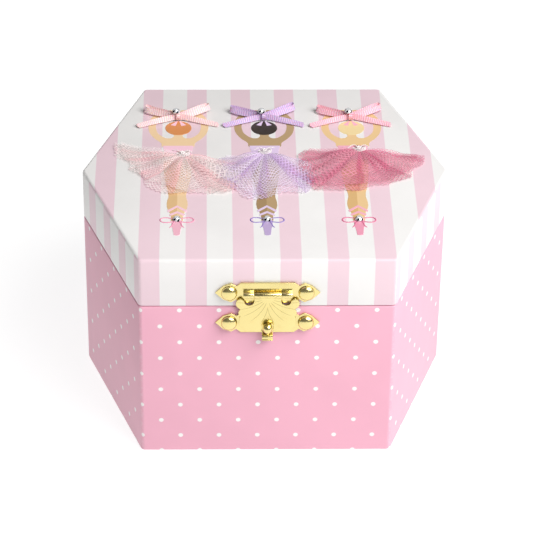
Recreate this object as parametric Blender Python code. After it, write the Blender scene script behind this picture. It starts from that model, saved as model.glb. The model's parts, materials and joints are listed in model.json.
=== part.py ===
"""Hexagonal ballerina jewellery box with a musical movement and a turning dancer.

All sizes are in millimetres and are turned into metres where a mesh is made. The origin is the
centre of the hexagon on the underside, +Z is up, and the hasp faces -Y.
"""
import math

import bmesh
import bpy
from mathutils import Matrix, Vector

MM = 0.001

# Case
FRONT_SIDE = 100.0          # length of the front and back panels
ACROSS_CORNERS = 148.0      # left corner to right corner
DEPTH = 129.0               # front panel to back panel
HEIGHT = 93.0               # underside to the top of the lid
LID_DEPTH = 21.7            # height of the lid
BOARD = 2.5                 # greyboard thickness
CORNER_ROUND = 2.2          # rounding of the upright corners
TOP_ROUND = 1.3             # rounding of the lid's upper edge
FIT = 0.3                   # gap between pieces that touch
RUNNING = 0.1               # radial gap between a pin and its bore

# Inside
LEDGE = 1.5                 # thickness of the ring that carries the floor
FLOOR = 2.0                 # floor thickness
LINING = 1.2                # flocked lining board
RIM_DROP = 0.3              # lining stands this far below the rim
DIVIDER = 1.6               # divider thickness
DIVIDER_DROP = 15.0         # divider tops below the rim
DIVIDER_X = 27.0            # centre of the front-to-back dividers
CROSS_Y = -8.0              # centre of the left-to-right divider
CUSHION_DROP = 2.0          # ring rolls below the divider tops
RING_ROLLS = 5
LID_CEILING = 1.4           # thickness of the lid's inner lining overhead
MIRROR = 1.5                # mirror thickness
MIRROR_MARGIN = 13.0        # mirror edge in from the lid's outer edge

# Back hinges
HINGE_X = 31.0
HINGE_WIDTH = 16.0
HINGE_LEAF = 9.0
HINGE_METAL = 0.65
HINGE_PIN = 0.65            # pin radius
HINGE_MIDDLE = 5.4          # width of the middle knuckle

# Hasp
METAL = 0.6                 # stamped brass sheet
HASP_UP = 7.05              # tack and pin lines above the seam, and below it
TACK_X = 15.0
TACK_RADIUS = 3.15
TACK_DOME = 1.8
LEAF_TIP = 20.4             # tip of the pointed leaves
LEAF_HALF = 4.4             # half height of a leaf
PLATE_HALF = 4.65           # half height of a plate at its middle
KNUCKLE = 1.2               # outer radius of the hasp's curls
TONGUE = 5.2                # half width of the flap's middle curl
EYE = 2.0                   # radius of the eyes beside the flap's curl
EYE_DROP = 3.4              # eye centres below the pin
FLAP_DROP = 17.6            # flap's lower edge below its pin
NOTCH = 2.4                 # half width of the notch round the ball
BALL = 2.0                  # ball radius
BALL_DROP = 1.45            # ball centre below the lower tack line
LUG_DROP = 6.4              # catch pin below the lower tack line
LUG_HALF = 2.1              # half width of the rolled lug
LUG_SLOT = 0.8              # half width of the slot in the lug
STEM_HALF = 0.5             # half thickness of the lever

# Trimmings on the lid, one set for each printed dancer
DANCER_X = {"left": -35.4, "middle": 0.2, "right": 36.4}
BOW_Y = 38.6
WAIST_Y = 13.2
SHOE_Y = -36.9
BOW_HEIGHT = 2.6
TUTU_HEIGHT = 6.5
TUTU_REACH = 31.0           # waist to hem, towards the feet
GEM_RADIUS = 1.6
GEM_HEIGHT = 1.5

# Musical movement, on a bedplate against the back wall
WHEEL_MARGIN = 1.0          # great wheel's pitch circle beyond the drum
PINION_TEETH = 12
MODULE = 0.5
WHEEL_TEETH = 32
FAN_TEETH = 10
FINE_MODULE = 0.4
CROWN_TEETH = 24
CROWN_RADIUS = 8.0
SPINDLE_TEETH = 54
DRUM_RADIUS = 11.0
DRUM_LENGTH = 11.5
ARBOR = 1.5                 # winding arbor radius
CYLINDER_RADIUS = 6.5
CYLINDER_LENGTH = 24.0
CYLINDER_ARBOR = 1.0
FAN_ARBOR = 0.8
COMB_TEETH = 18
COMB_REACH = 19.0
PLATE = 1.4                 # bedplate and cheek thickness
SPINDLE = 1.5
WHEEL_WIDTH = 2.0           # great wheel thickness
CROWN_RIM = 0.6             # disc that carries the crown teeth
CROWN_TOOTH = 2.2           # length of a crown tooth
MESH_DEPTH = 0.4            # how far the spindle wheel reaches into the crown teeth
ADDENDUM = 0.8              # tooth height above the pitch circle, in modules
WHEEL_CLEARANCE = 0.4       # great wheel above the bedplate
MOVEMENT_HEADROOM = 2.3     # great wheel below the floor board
CHEEK_RISE = 4.0            # cheeks stand this far above the arbors
STEP_RISE = 4.0             # height of the spindle's step bearing
STEP_WALL = 1.5             # wall of the step bearing
COMB = 1.2                  # comb thickness
TIP_GAP = 0.4               # comb teeth in front of the cylinder
FAN_BLADE = 5.0             # fan blade reach, and its length
BUSH_WALL = 1.4
BUSH_FLANGE = 0.8
BUSH_LIP = 2.5              # flange reach beyond the bush
BUSH_BELOW = 1.0            # bush below the floor board
KEY_WING = 9.0              # key half width

# Dancer
TURNTABLE_RADIUS = 8.0
TURNTABLE = 1.4
SPRING_RADIUS = 2.3
SPRING_WIRE = 0.45
SPRING_TURNS = 5
SPRING_HEIGHT = 7.5
DANCER_HEADROOM = 3.0       # clearance between the dancer's hands and the mirror

SEAM = HEIGHT - LID_DEPTH
RIM = SEAM - FIT
SEAM_MIDDLE = (SEAM + RIM) / 2
HALF_DEPTH = DEPTH / 2
INNER = BOARD + FIT         # inset of what stands inside the walls
DIVIDER_TOP = RIM - DIVIDER_DROP
LINED = INNER + LINING      # inset of the lined space
REAR = HALF_DEPTH - INNER - LEDGE
HINGE_AXIS_Y = HALF_DEPTH + FIT + HINGE_PIN + RUNNING + HINGE_METAL
HASP_PIN = KNUCKLE - METAL - RUNNING
BEDPLATE_REAR = REAR - 2 * FIT
BED_TOP = BOARD + FIT + PLATE
GREAT_TEETH = 2 * round((DRUM_RADIUS + WHEEL_MARGIN) / MODULE)
GREAT_RADIUS = GREAT_TEETH * MODULE / 2
BARREL_REACH = max(GREAT_RADIUS + ADDENDUM * MODULE, DRUM_RADIUS)
AXIS_Z = BED_TOP + WHEEL_CLEARANCE + BARREL_REACH
FLOOR_TOP = AXIS_Z + BARREL_REACH + MOVEMENT_HEADROOM + FIT + FLOOR
WHEEL_BACK = BEDPLATE_REAR - PLATE - FIT - DRUM_LENGTH
WHEEL_FRONT = WHEEL_BACK - WHEEL_WIDTH
CROWN_FRONT = WHEEL_FRONT - CROWN_RIM
TOOTH_TIP = CROWN_FRONT - CROWN_TOOTH
SPINDLE_RADIUS = SPINDLE_TEETH * CROWN_RADIUS / CROWN_TEETH
SPINDLE_Y = TOOTH_TIP + MESH_DEPTH - SPINDLE_RADIUS
BUSH_RADIUS = SPINDLE + RUNNING + BUSH_WALL

FINISHES = {
    "dotted_paper": ((0.90, 0.52, 0.60), 0.55, 0.0),
    "striped_paper": ((0.86, 0.78, 0.80), 0.50, 0.0),
    "board": ((0.60, 0.56, 0.50), 0.85, 0.0),
    "flock": ((0.85, 0.55, 0.62), 0.95, 0.0),
    "velvet": ((0.93, 0.72, 0.77), 0.95, 0.0),
    "mirror_glass": ((0.90, 0.92, 0.94), 0.03, 1.0),
    "brass": ((0.86, 0.70, 0.34), 0.22, 1.0),
    "steel": ((0.62, 0.62, 0.64), 0.30, 1.0),
    "bright_steel": ((0.75, 0.75, 0.77), 0.15, 1.0),
    "pale_tulle": ((0.98, 0.78, 0.78), 0.80, 0.0),
    "lilac_tulle": ((0.80, 0.66, 0.86), 0.80, 0.0),
    "rose_tulle": ((0.76, 0.30, 0.42), 0.80, 0.0),
    "pale_ribbon": ((0.95, 0.76, 0.80), 0.45, 0.0),
    "lilac_ribbon": ((0.80, 0.62, 0.85), 0.45, 0.0),
    "rose_ribbon": ((0.90, 0.50, 0.66), 0.45, 0.0),
    "thread": ((0.92, 0.90, 0.87), 0.80, 0.0),
    "rhinestone": ((0.88, 0.90, 0.95), 0.03, 0.0),
    "moulded_plastic": ((0.94, 0.78, 0.70), 0.35, 0.0),
    "pale_net": ((0.96, 0.82, 0.86), 0.85, 0.0),
}
TUTU_FINISH = {"left": "pale_tulle", "middle": "lilac_tulle", "right": "rose_tulle"}
BOW_FINISH = {"left": "pale_ribbon", "middle": "lilac_ribbon", "right": "rose_ribbon"}


# ---------------------------------------------------------------- making meshes

def clear_scene():
    for obj in list(bpy.data.objects):
        bpy.data.objects.remove(obj, do_unlink=True)


def finish_material(name):
    material = bpy.data.materials.get(name)
    if material is None:
        colour, roughness, metallic = FINISHES[name]
        material = bpy.data.materials.new(name)
        material.use_nodes = True
        shader = material.node_tree.nodes["Principled BSDF"]
        shader.inputs["Base Color"].default_value = (*colour, 1.0)
        shader.inputs["Roughness"].default_value = roughness
        shader.inputs["Metallic"].default_value = metallic
    return material


def loft(name, loops, finish, ring=False, smooth=False):
    """Join loops of points into one closed body; a ring joins its last loop to its first."""
    mesh = bmesh.new()
    rows = [[mesh.verts.new(Vector(point) * MM) for point in loop] for loop in loops]
    count = len(rows[0])
    pairs = list(zip(rows, rows[1:]))
    if ring:
        pairs.append((rows[-1], rows[0]))
    else:
        mesh.faces.new(list(reversed(rows[0])))
        mesh.faces.new(rows[-1])
    for low, high in pairs:
        for i in range(count):
            j = (i + 1) % count
            mesh.faces.new((low[i], low[j], high[j], high[i]))
    bmesh.ops.remove_doubles(mesh, verts=mesh.verts, dist=0.001 * MM)
    bmesh.ops.recalc_face_normals(mesh, faces=mesh.faces)
    data = bpy.data.meshes.new(name)
    mesh.to_mesh(data)
    mesh.free()
    data.materials.append(finish_material(finish))
    if smooth:
        data.shade_smooth()
        data.set_sharp_from_angle(angle=math.radians(35))
    obj = bpy.data.objects.new(name, data)
    bpy.context.scene.collection.objects.link(obj)
    return obj


def on_axis(axis, outline, height):
    """Points of a flat outline at a height along the axis."""
    if axis == "X":
        return [(height, a, b) for a, b in outline]
    if axis == "Y":
        return [(a, height, b) for a, b in outline]
    return [(a, b, height) for a, b in outline]


def prism(name, outline, low, high, finish, axis="Z"):
    return loft(name, [on_axis(axis, outline, low), on_axis(axis, outline, high)], finish)


def wall(name, outer, inner, low, high, finish):
    loops = [on_axis("Z", outer, low), on_axis("Z", outer, high),
             on_axis("Z", inner, high), on_axis("Z", inner, low)]
    return loft(name, loops, finish, ring=True)


def circle(radius, sides=24, centre=(0.0, 0.0), start=0.0):
    return arc(centre, radius, start, start + 360.0 * (sides - 1) / sides, sides - 1)


def arc(centre, radius, start, end, steps):
    """Points from one angle to another, in degrees, both ends included."""
    points = []
    for i in range(steps + 1):
        angle = math.radians(start + (end - start) * i / steps)
        points.append((centre[0] + radius * math.cos(angle), centre[1] + radius * math.sin(angle)))
    return points


def turned(name, profile, centre, finish, axis="Z", sides=24, ring=False):
    """Turn (radius, height) points about an axis through the centre (the two other coordinates)."""
    loops = [on_axis(axis, circle(max(radius, 0.0), sides, centre), height)
             for radius, height in profile]
    return loft(name, loops, finish, ring=ring, smooth=True)


def tube(name, points, radius, finish, resolution=1):
    curve = bpy.data.curves.new(name, "CURVE")
    curve.dimensions = "3D"
    curve.bevel_depth = radius * MM
    curve.bevel_resolution = resolution
    curve.use_fill_caps = True
    spline = curve.splines.new("POLY")
    spline.points.add(len(points) - 1)
    for target, point in zip(spline.points, points):
        target.co = (*(Vector(point) * MM), 1.0)
    curve.materials.append(finish_material(finish))
    obj = bpy.data.objects.new(name, curve)
    bpy.context.scene.collection.objects.link(obj)
    return settle(obj)


def settle(obj):
    """Turn an object and its modifiers into a plain mesh object of the same name."""
    bpy.context.view_layer.update()
    depsgraph = bpy.context.evaluated_depsgraph_get()
    data = bpy.data.meshes.new_from_object(obj.evaluated_get(depsgraph))
    name = obj.name
    bpy.data.objects.remove(obj, do_unlink=True)
    data.name = name
    fresh = bpy.data.objects.new(name, data)
    bpy.context.scene.collection.objects.link(fresh)
    return fresh


def boolean(obj, tools, operation):
    for tool in tools:
        modifier = obj.modifiers.new(operation.lower(), "BOOLEAN")
        modifier.operation = operation
        modifier.solver = "EXACT"
        modifier.object = tool
    result = settle(obj)
    for tool in tools:
        bpy.data.objects.remove(tool, do_unlink=True)
    return result


def join(obj, *tools):
    return boolean(obj, tools, "UNION")


def cut(obj, *tools):
    return boolean(obj, tools, "DIFFERENCE")


def box(low, high, finish="brass", name="block"):
    outline = [(low[0], low[1]), (high[0], low[1]), (high[0], high[1]), (low[0], high[1])]
    return prism(name, outline, low[2], high[2], finish)


def rod(centre, radius, low, high, axis, finish="brass", sides=16, name="rod"):
    return turned(name, [(radius, low), (radius, high)], centre, finish, axis, sides)


def joint_axis(name, location, pieces):
    """Hang pieces on an empty that stands on their joint's axis."""
    empty = bpy.data.objects.new(name, None)
    empty.location = Vector(location) * MM
    bpy.context.scene.collection.objects.link(empty)
    for piece in pieces:
        piece.data.transform(Matrix.Translation(-empty.location))
        piece.parent = empty
    return empty


# ---------------------------------------------------------------- the hexagon

def hex_corners(inset):
    """Corners of the hexagonal plan, moved in from the outer faces by the inset."""
    side = (ACROSS_CORNERS - FRONT_SIDE) / 2
    slant = math.hypot(side, HALF_DEPTH)
    tip = ACROSS_CORNERS / 2 - inset * slant / HALF_DEPTH
    reach = HALF_DEPTH - inset
    shoulder = tip - reach * side / HALF_DEPTH
    return [(-shoulder, -reach), (shoulder, -reach), (tip, 0.0),
            (shoulder, reach), (-shoulder, reach), (-tip, 0.0)]


def half_width(inset, y):
    """Half the width of the inset hexagon at a distance from its middle."""
    tip = hex_corners(inset)[2][0]
    return tip - abs(y) * (ACROSS_CORNERS - FRONT_SIDE) / 2 / HALF_DEPTH


def hexagon(inset, radius=None, steps=3):
    """The inset hexagon with rounded corners."""
    corners = [Vector(corner) for corner in hex_corners(inset)]
    if radius is None:
        radius = max(CORNER_ROUND - inset, 0.5)
    outline = []
    for i, corner in enumerate(corners):
        before = (corners[i - 1] - corner).normalized()
        after = (corners[(i + 1) % 6] - corner).normalized()
        half = before.angle(after) / 2
        centre = corner + (before + after).normalized() * radius / math.sin(half)
        start = corner + before * radius / math.tan(half) - centre
        end = corner + after * radius / math.tan(half) - centre
        first = math.degrees(math.atan2(start.y, start.x))
        turn = (math.degrees(math.atan2(end.y, end.x)) - first) % 360
        outline += arc(centre, radius, first, first + turn, steps)
    return outline


# ---------------------------------------------------------------- case

def make_base():
    base = wall("base_wall", hexagon(0), hexagon(BOARD), 0, RIM, "dotted_paper")
    cut(base, rod((0, AXIS_Z), ARBOR + 0.5, HALF_DEPTH - 2 * BOARD, HALF_DEPTH + 1, "Y"))
    prism("base_bottom", hexagon(INNER), 0, BOARD, "board")
    ledge = wall("floor_ledge", hexagon(INNER), hexagon(INNER + LEDGE), BOARD + FIT,
                 FLOOR_TOP - FLOOR - 2 * FIT, "board")
    cut(ledge, rod((0, AXIS_Z), ARBOR + 0.5, REAR - 1, HALF_DEPTH, "Y"))
    floor = prism("floor", hexagon(INNER), FLOOR_TOP - FLOOR - FIT, FLOOR_TOP - FIT, "flock")
    cut(floor, rod((0, SPINDLE_Y), BUSH_RADIUS + FIT, FLOOR_TOP - 2 * FLOOR, FLOOR_TOP + 1, "Z"))
    wall("base_lining", hexagon(INNER), hexagon(LINED), FLOOR_TOP, RIM - RIM_DROP, "flock")


def notched_board(half, middle_cuts, low, high, from_top):
    """A divider's outline with half-height notches where it crosses others."""
    middle = (low + high) / 2
    edge = DIVIDER / 2 + FIT
    top, bottom = [(half, high)], [(-half, low)]
    for place in middle_cuts:
        if from_top:
            top = top + [(place + edge, high), (place + edge, middle - FIT),
                         (place - edge, middle - FIT), (place - edge, high)]
        else:
            bottom = bottom + [(place - edge, low), (place - edge, middle + FIT),
                               (place + edge, middle + FIT), (place + edge, low)]
    return bottom + [(half, low)] + top + [(-half, high)]


def make_dividers():
    low = FLOOR_TOP
    reach = HALF_DEPTH - LINED - FIT
    cross_half = half_width(LINED, abs(CROSS_Y) + DIVIDER / 2) - FIT
    outline = notched_board(cross_half, [DIVIDER_X, -DIVIDER_X], low, DIVIDER_TOP, True)
    prism("divider_cross", outline, CROSS_Y - DIVIDER / 2, CROSS_Y + DIVIDER / 2, "flock", "Y")
    for side, x in (("left", -DIVIDER_X), ("right", DIVIDER_X)):
        outline = notched_board(reach, [CROSS_Y], low, DIVIDER_TOP, False)
        prism("divider_" + side, outline, x - DIVIDER / 2, x + DIVIDER / 2, "flock", "X")


def make_ring_cushion():
    """Padded rolls side by side; rings stand in the grooves between them."""
    front = -(HALF_DEPTH - LINED - 2 * FIT)
    back = CROSS_Y - DIVIDER / 2 - 2 * FIT
    half = DIVIDER_X - DIVIDER / 2 - 2 * FIT
    radius = (back - front) / RING_ROLLS / 2
    crown = DIVIDER_TOP - CUSHION_DROP - radius
    outline = [(front, FLOOR_TOP), (back, FLOOR_TOP)]
    for i in range(RING_ROLLS):
        centre = (back - radius * (2 * i + 1), crown)
        outline += arc(centre, radius, 8, 172, 6)
    prism("ring_cushion", outline, -half, half, "velvet", "X")


def make_lid():
    board_low = HEIGHT - BOARD
    pieces = [wall("lid_wall", hexagon(0), hexagon(BOARD), SEAM, board_low - FIT, "striped_paper")]
    loops = [on_axis("Z", hexagon(0), board_low)]
    for angle in (0, 45, 90):
        inset = TOP_ROUND * (1 - math.cos(math.radians(angle)))
        height = HEIGHT - TOP_ROUND + TOP_ROUND * math.sin(math.radians(angle))
        loops.append(on_axis("Z", hexagon(inset, CORNER_ROUND), height))
    pieces.append(loft("lid_top", loops, "striped_paper"))
    lining_top = board_low - FIT
    ceiling = lining_top - LID_CEILING
    loops = [on_axis("Z", hexagon(INNER), lining_top), on_axis("Z", hexagon(INNER), SEAM + RIM_DROP),
             on_axis("Z", hexagon(LINED), SEAM + RIM_DROP), on_axis("Z", hexagon(LINED), ceiling)]
    pieces.append(loft("lid_lining", loops, "flock"))
    mirror_top = ceiling - FIT
    pieces.append(prism("mirror", hexagon(MIRROR_MARGIN, 3), mirror_top - MIRROR, mirror_top,
                        "mirror_glass"))
    return pieces


# ---------------------------------------------------------------- brass

def curl(axis_y, axis_z, outer, inner, wall_side, plate_up, plate_end):
    """A strip that lies on the wall and curls round a pin, as (y, z) points."""
    def place(angle, radius):
        radians = math.radians(angle)
        return (axis_y - wall_side * radius * math.cos(radians),
                axis_z + plate_up * radius * math.sin(radians))
    sweep = [180 + 285 * i / 14 for i in range(15)]
    outside = [place(angle, outer) for angle in sweep]
    inside = [place(angle, inner) for angle in reversed(sweep)]
    face = axis_y + wall_side * outer
    back = axis_y + wall_side * inner
    return [(face, plate_end)] + outside + inside + [(back, plate_end)]


def make_hinge(side, x):
    outer = HINGE_PIN + RUNNING + HINGE_METAL
    inner = HINGE_PIN + RUNNING
    axis_y = HINGE_AXIS_Y
    half = HINGE_WIDTH / 2
    pieces = []
    for part, up in (("lid", 1), ("base", -1)):
        outline = curl(axis_y, SEAM_MIDDLE, outer, inner, -1, up, SEAM_MIDDLE + up * HINGE_LEAF)
        leaf = prism("hinge_" + side + "_" + part + "_leaf", outline, x - half, x + half,
                     "brass", "X")
        low, high = sorted((SEAM_MIDDLE - up * (outer + 1), SEAM_MIDDLE + up * (outer + FIT)))
        near, far = axis_y - outer - 1, axis_y + outer + 1
        middle = HINGE_MIDDLE / 2
        if part == "lid":
            leaf = cut(leaf, box((x - middle - FIT, near, low), (x + middle + FIT, far, high)))
        else:
            leaf = cut(leaf, box((x - half - 1, near, low), (x - middle, far, high)),
                       box((x + middle, near, low), (x + half + 1, far, high)))
        pieces.append(leaf)
    pin = rod((axis_y, SEAM_MIDDLE), HINGE_PIN, x - half, x + half, "X", "steel", 16,
              "hinge_" + side + "_pin")
    return pieces[0], pieces[1], pin


def plate_outline(mirror):
    """Half-lines of the hasp plates: a straight middle between two pointed leaves."""
    neck, widest, shoulder = TACK_X - 2.8, TACK_X - 0.8, TACK_X + 2.2
    upper = [(shoulder, 3.2), (widest, LEAF_HALF), (neck, 3.1), (TONGUE * 2, PLATE_HALF)]
    right = [(x, -z) for x, z in reversed(upper)] + [(LEAF_TIP, 0.0)] + upper
    left = [(-x, z) for x, z in reversed(right)]
    return [(x, z + (1 if not mirror else -1) * HASP_UP + SEAM_MIDDLE) for x, z in right + left]


def make_hasp():
    wall_y = -(HALF_DEPTH + FIT)
    plate_front = wall_y - METAL
    flap_back = plate_front - FIT
    pin_y = flap_back - KNUCKLE
    pin_z = SEAM_MIDDLE + HASP_UP
    bore = HASP_PIN + RUNNING

    plate = prism("hasp_plate", plate_outline(False), plate_front, wall_y, "brass", "Y")
    for side in (-1, 1):
        low, high = sorted((side * (TONGUE + FIT), side * (TONGUE + FIT + 4.0)))
        block = [(plate_front + METAL / 2, pin_z - KNUCKLE)] + arc((pin_y, pin_z), KNUCKLE, 270, 90, 8)
        block += [(plate_front + METAL / 2, pin_z + KNUCKLE)]
        plate = join(plate, prism("knuckle", block, low, high, "brass", "X"))
    plate = cut(plate, rod((pin_y, pin_z), bore, -TONGUE * 3, TONGUE * 3, "X"))
    pin = rod((pin_y, pin_z), HASP_PIN, -TONGUE - 4.0, TONGUE + 4.0, "X", "brass", 16, "hasp_pin")

    bottom = pin_z - FLAP_DROP
    notch_top = SEAM_MIDDLE - HASP_UP - BALL_DROP + NOTCH
    right = [(TONGUE, pin_z), (TONGUE, pin_z - EYE_DROP)]
    right += arc((TONGUE + EYE, pin_z - EYE_DROP), EYE, 180, 360, 6)
    right += arc((TONGUE + 4.7, pin_z - 4.6), 2.5, 75, -52, 5)
    right += arc((TONGUE + 4.1, pin_z - 8.9), 2.1, 52, -52, 4)
    right += [(TONGUE + 5.8, pin_z - 11.6), (TONGUE + 6.0, bottom + 2.8), (TONGUE + 3.8, bottom),
              (NOTCH, bottom)]
    right += arc((0, notch_top - NOTCH), NOTCH, 0, 90, 4)
    left = [(-x, z) for x, z in reversed(right[:-1])]
    flap = prism("hasp_flap", right + left, flap_back - METAL, flap_back, "brass", "Y")
    rolled = curl(pin_y, pin_z, KNUCKLE, KNUCKLE - METAL, 1, -1, pin_z - 2.0)
    flap = join(flap, prism("rolled", rolled, -TONGUE, TONGUE, "brass", "X"))

    keeper = prism("keeper_plate", plate_outline(True), plate_front, wall_y, "brass", "Y")
    lug_z = SEAM_MIDDLE - HASP_UP - LUG_DROP
    lug_y = wall_y - KNUCKLE
    rolled = curl(lug_y, lug_z, KNUCKLE, KNUCKLE - METAL, 1, 1, lug_z + 3.0)
    keeper = join(keeper, prism("lug", rolled, -LUG_HALF, LUG_HALF, "brass", "X"))
    keeper = cut(keeper, box((-LUG_SLOT, lug_y - 2 * KNUCKLE, lug_z - 2 * KNUCKLE),
                             (LUG_SLOT, wall_y + FIT, lug_z + KNUCKLE + FIT)))
    catch_pin = rod((lug_y, lug_z), HASP_PIN, -LUG_HALF, LUG_HALF, "X", "brass", 16, "catch_pin")

    ball_y = flap_back - BALL + METAL / 2
    ball_z = SEAM_MIDDLE - HASP_UP - BALL_DROP
    lever = rod((lug_y, lug_z), KNUCKLE - 0.1, -STEM_HALF, STEM_HALF, "X", "brass", 16, "catch_lever")
    stem = [(lug_y - 0.6, lug_z), (lug_y + 0.35, lug_z), (lug_y + 0.35, lug_z + 1.6),
            (ball_y + 0.6, ball_z), (ball_y - 0.6, ball_z)]
    lever = join(lever, prism("stem", stem, -STEM_HALF, STEM_HALF, "brass", "X"))
    sphere = [(BALL * math.sin(math.radians(a)), ball_z - BALL * math.cos(math.radians(a)))
              for a in range(0, 181, 20)]
    lever = join(lever, turned("ball", sphere, (0, ball_y), "brass", "Z", 16))
    lever = cut(lever, rod((lug_y, lug_z), bore, -2 * STEM_HALF, 2 * STEM_HALF, "X"))

    tacks = {}
    dome_back = plate_front - FIT
    for level, up in (("upper", 1), ("lower", -1)):
        for side, x in (("left", -TACK_X), ("right", TACK_X)):
            profile = [(TACK_RADIUS * math.cos(math.radians(a)),
                        dome_back - TACK_DOME * math.sin(math.radians(a))) for a in range(0, 91, 18)]
            name = "tack_" + level + "_" + side
            tacks[name] = turned(name, profile, (x, SEAM_MIDDLE + up * HASP_UP), "brass", "Y", 20)
    lid_side = [plate, pin, tacks["tack_upper_left"], tacks["tack_upper_right"]]
    return lid_side, flap, lever, (0, pin_y, pin_z), (0, lug_y, lug_z)


# ---------------------------------------------------------------- trimmings on the lid

def make_trimmings():
    pieces = []
    surface = HEIGHT + FIT
    spread = {"left": (-24.0, 16.0), "middle": (-18.6, 17.2), "right": (-18.0, 31.0)}
    for side, x in DANCER_X.items():
        loop = [(1.4, 1.2), (6.0, 4.6), (11.5, 7.6), (12.6, 3.4), (6.5, 0.6), (11.5, -2.2), (15.0, -5.6),
                (12.2, -7.2), (7.0, -4.2), (1.4, -1.4)]
        bow = [(x + a, BOW_Y + b) for a, b in loop + [(-a, b) for a, b in reversed(loop)]]
        pieces.append(prism("bow_" + side, bow, surface, surface + BOW_HEIGHT, BOW_FINISH[side]))
        left, right = spread[side]
        hem = [(left, 4.0), (left * 0.92, -10.0), (left * 0.55, -24.0), (0.0, -TUTU_REACH),
               (right * 0.55, -24.0), (right * 0.92, -10.0), (right, 4.0), (right * 0.5, 7.0),
               (0.0, 1.5), (left * 0.5, 7.0)]
        base = [(x + a, WAIST_Y + b) for a, b in hem]
        top = [(x + a * 0.45, WAIST_Y - 3.0 + (b + 3.0) * 0.45) for a, b in hem]
        name = "tutu_" + side
        pieces.append(loft(name, [on_axis("Z", base, surface), on_axis("Z", base, surface + 1.5),
                                  on_axis("Z", top, surface + TUTU_HEIGHT)], TUTU_FINISH[side]))
        knot = [(0.0, 0.0), (1.1, 0.3), (1.5, 1.0), (1.1, 1.7), (0.0, 2.0)]
        low = surface + TUTU_HEIGHT + FIT
        pieces.append(turned("tie_" + side, [(r, low + h) for r, h in knot], (x, WAIST_Y - 1.5), "thread",
                             "Z", 12))
        pieces.append(make_gem("bow_gem_" + side, x, BOW_Y, surface + BOW_HEIGHT + FIT))
        pieces.append(make_gem("shoe_gem_" + side, x, SHOE_Y, surface))
    return pieces


def make_gem(name, x, y, low):
    """A flat-backed stone: girdle, sloped crown facets and a table."""
    profile = [(GEM_RADIUS * 0.9, low), (GEM_RADIUS, low + 0.3 * GEM_HEIGHT),
               (GEM_RADIUS * 0.55, low + GEM_HEIGHT)]
    loops = [on_axis("Z", circle(radius, 8, (x, y)), height) for radius, height in profile]
    return loft(name, loops, "rhinestone")


# ---------------------------------------------------------------- musical movement

def gear(name, teeth, radius, module, centre, low, high, axis, phase=0.0, finish="brass"):
    """A spur wheel with straight-sided teeth, a tooth centred on the phase angle."""
    outline = []
    pitch = 360.0 / teeth
    width = 0.32 * pitch
    for i in range(teeth):
        middle = phase + i * pitch
        for offset, reach in ((-0.62, -1.2), (-0.36, ADDENDUM), (0.36, ADDENDUM), (0.62, -1.2)):
            angle = math.radians(middle + offset * width)
            r = radius + reach * module
            outline.append((centre[0] + r * math.cos(angle), centre[1] + r * math.sin(angle)))
    return prism(name, outline, low, high, finish, axis)


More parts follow.
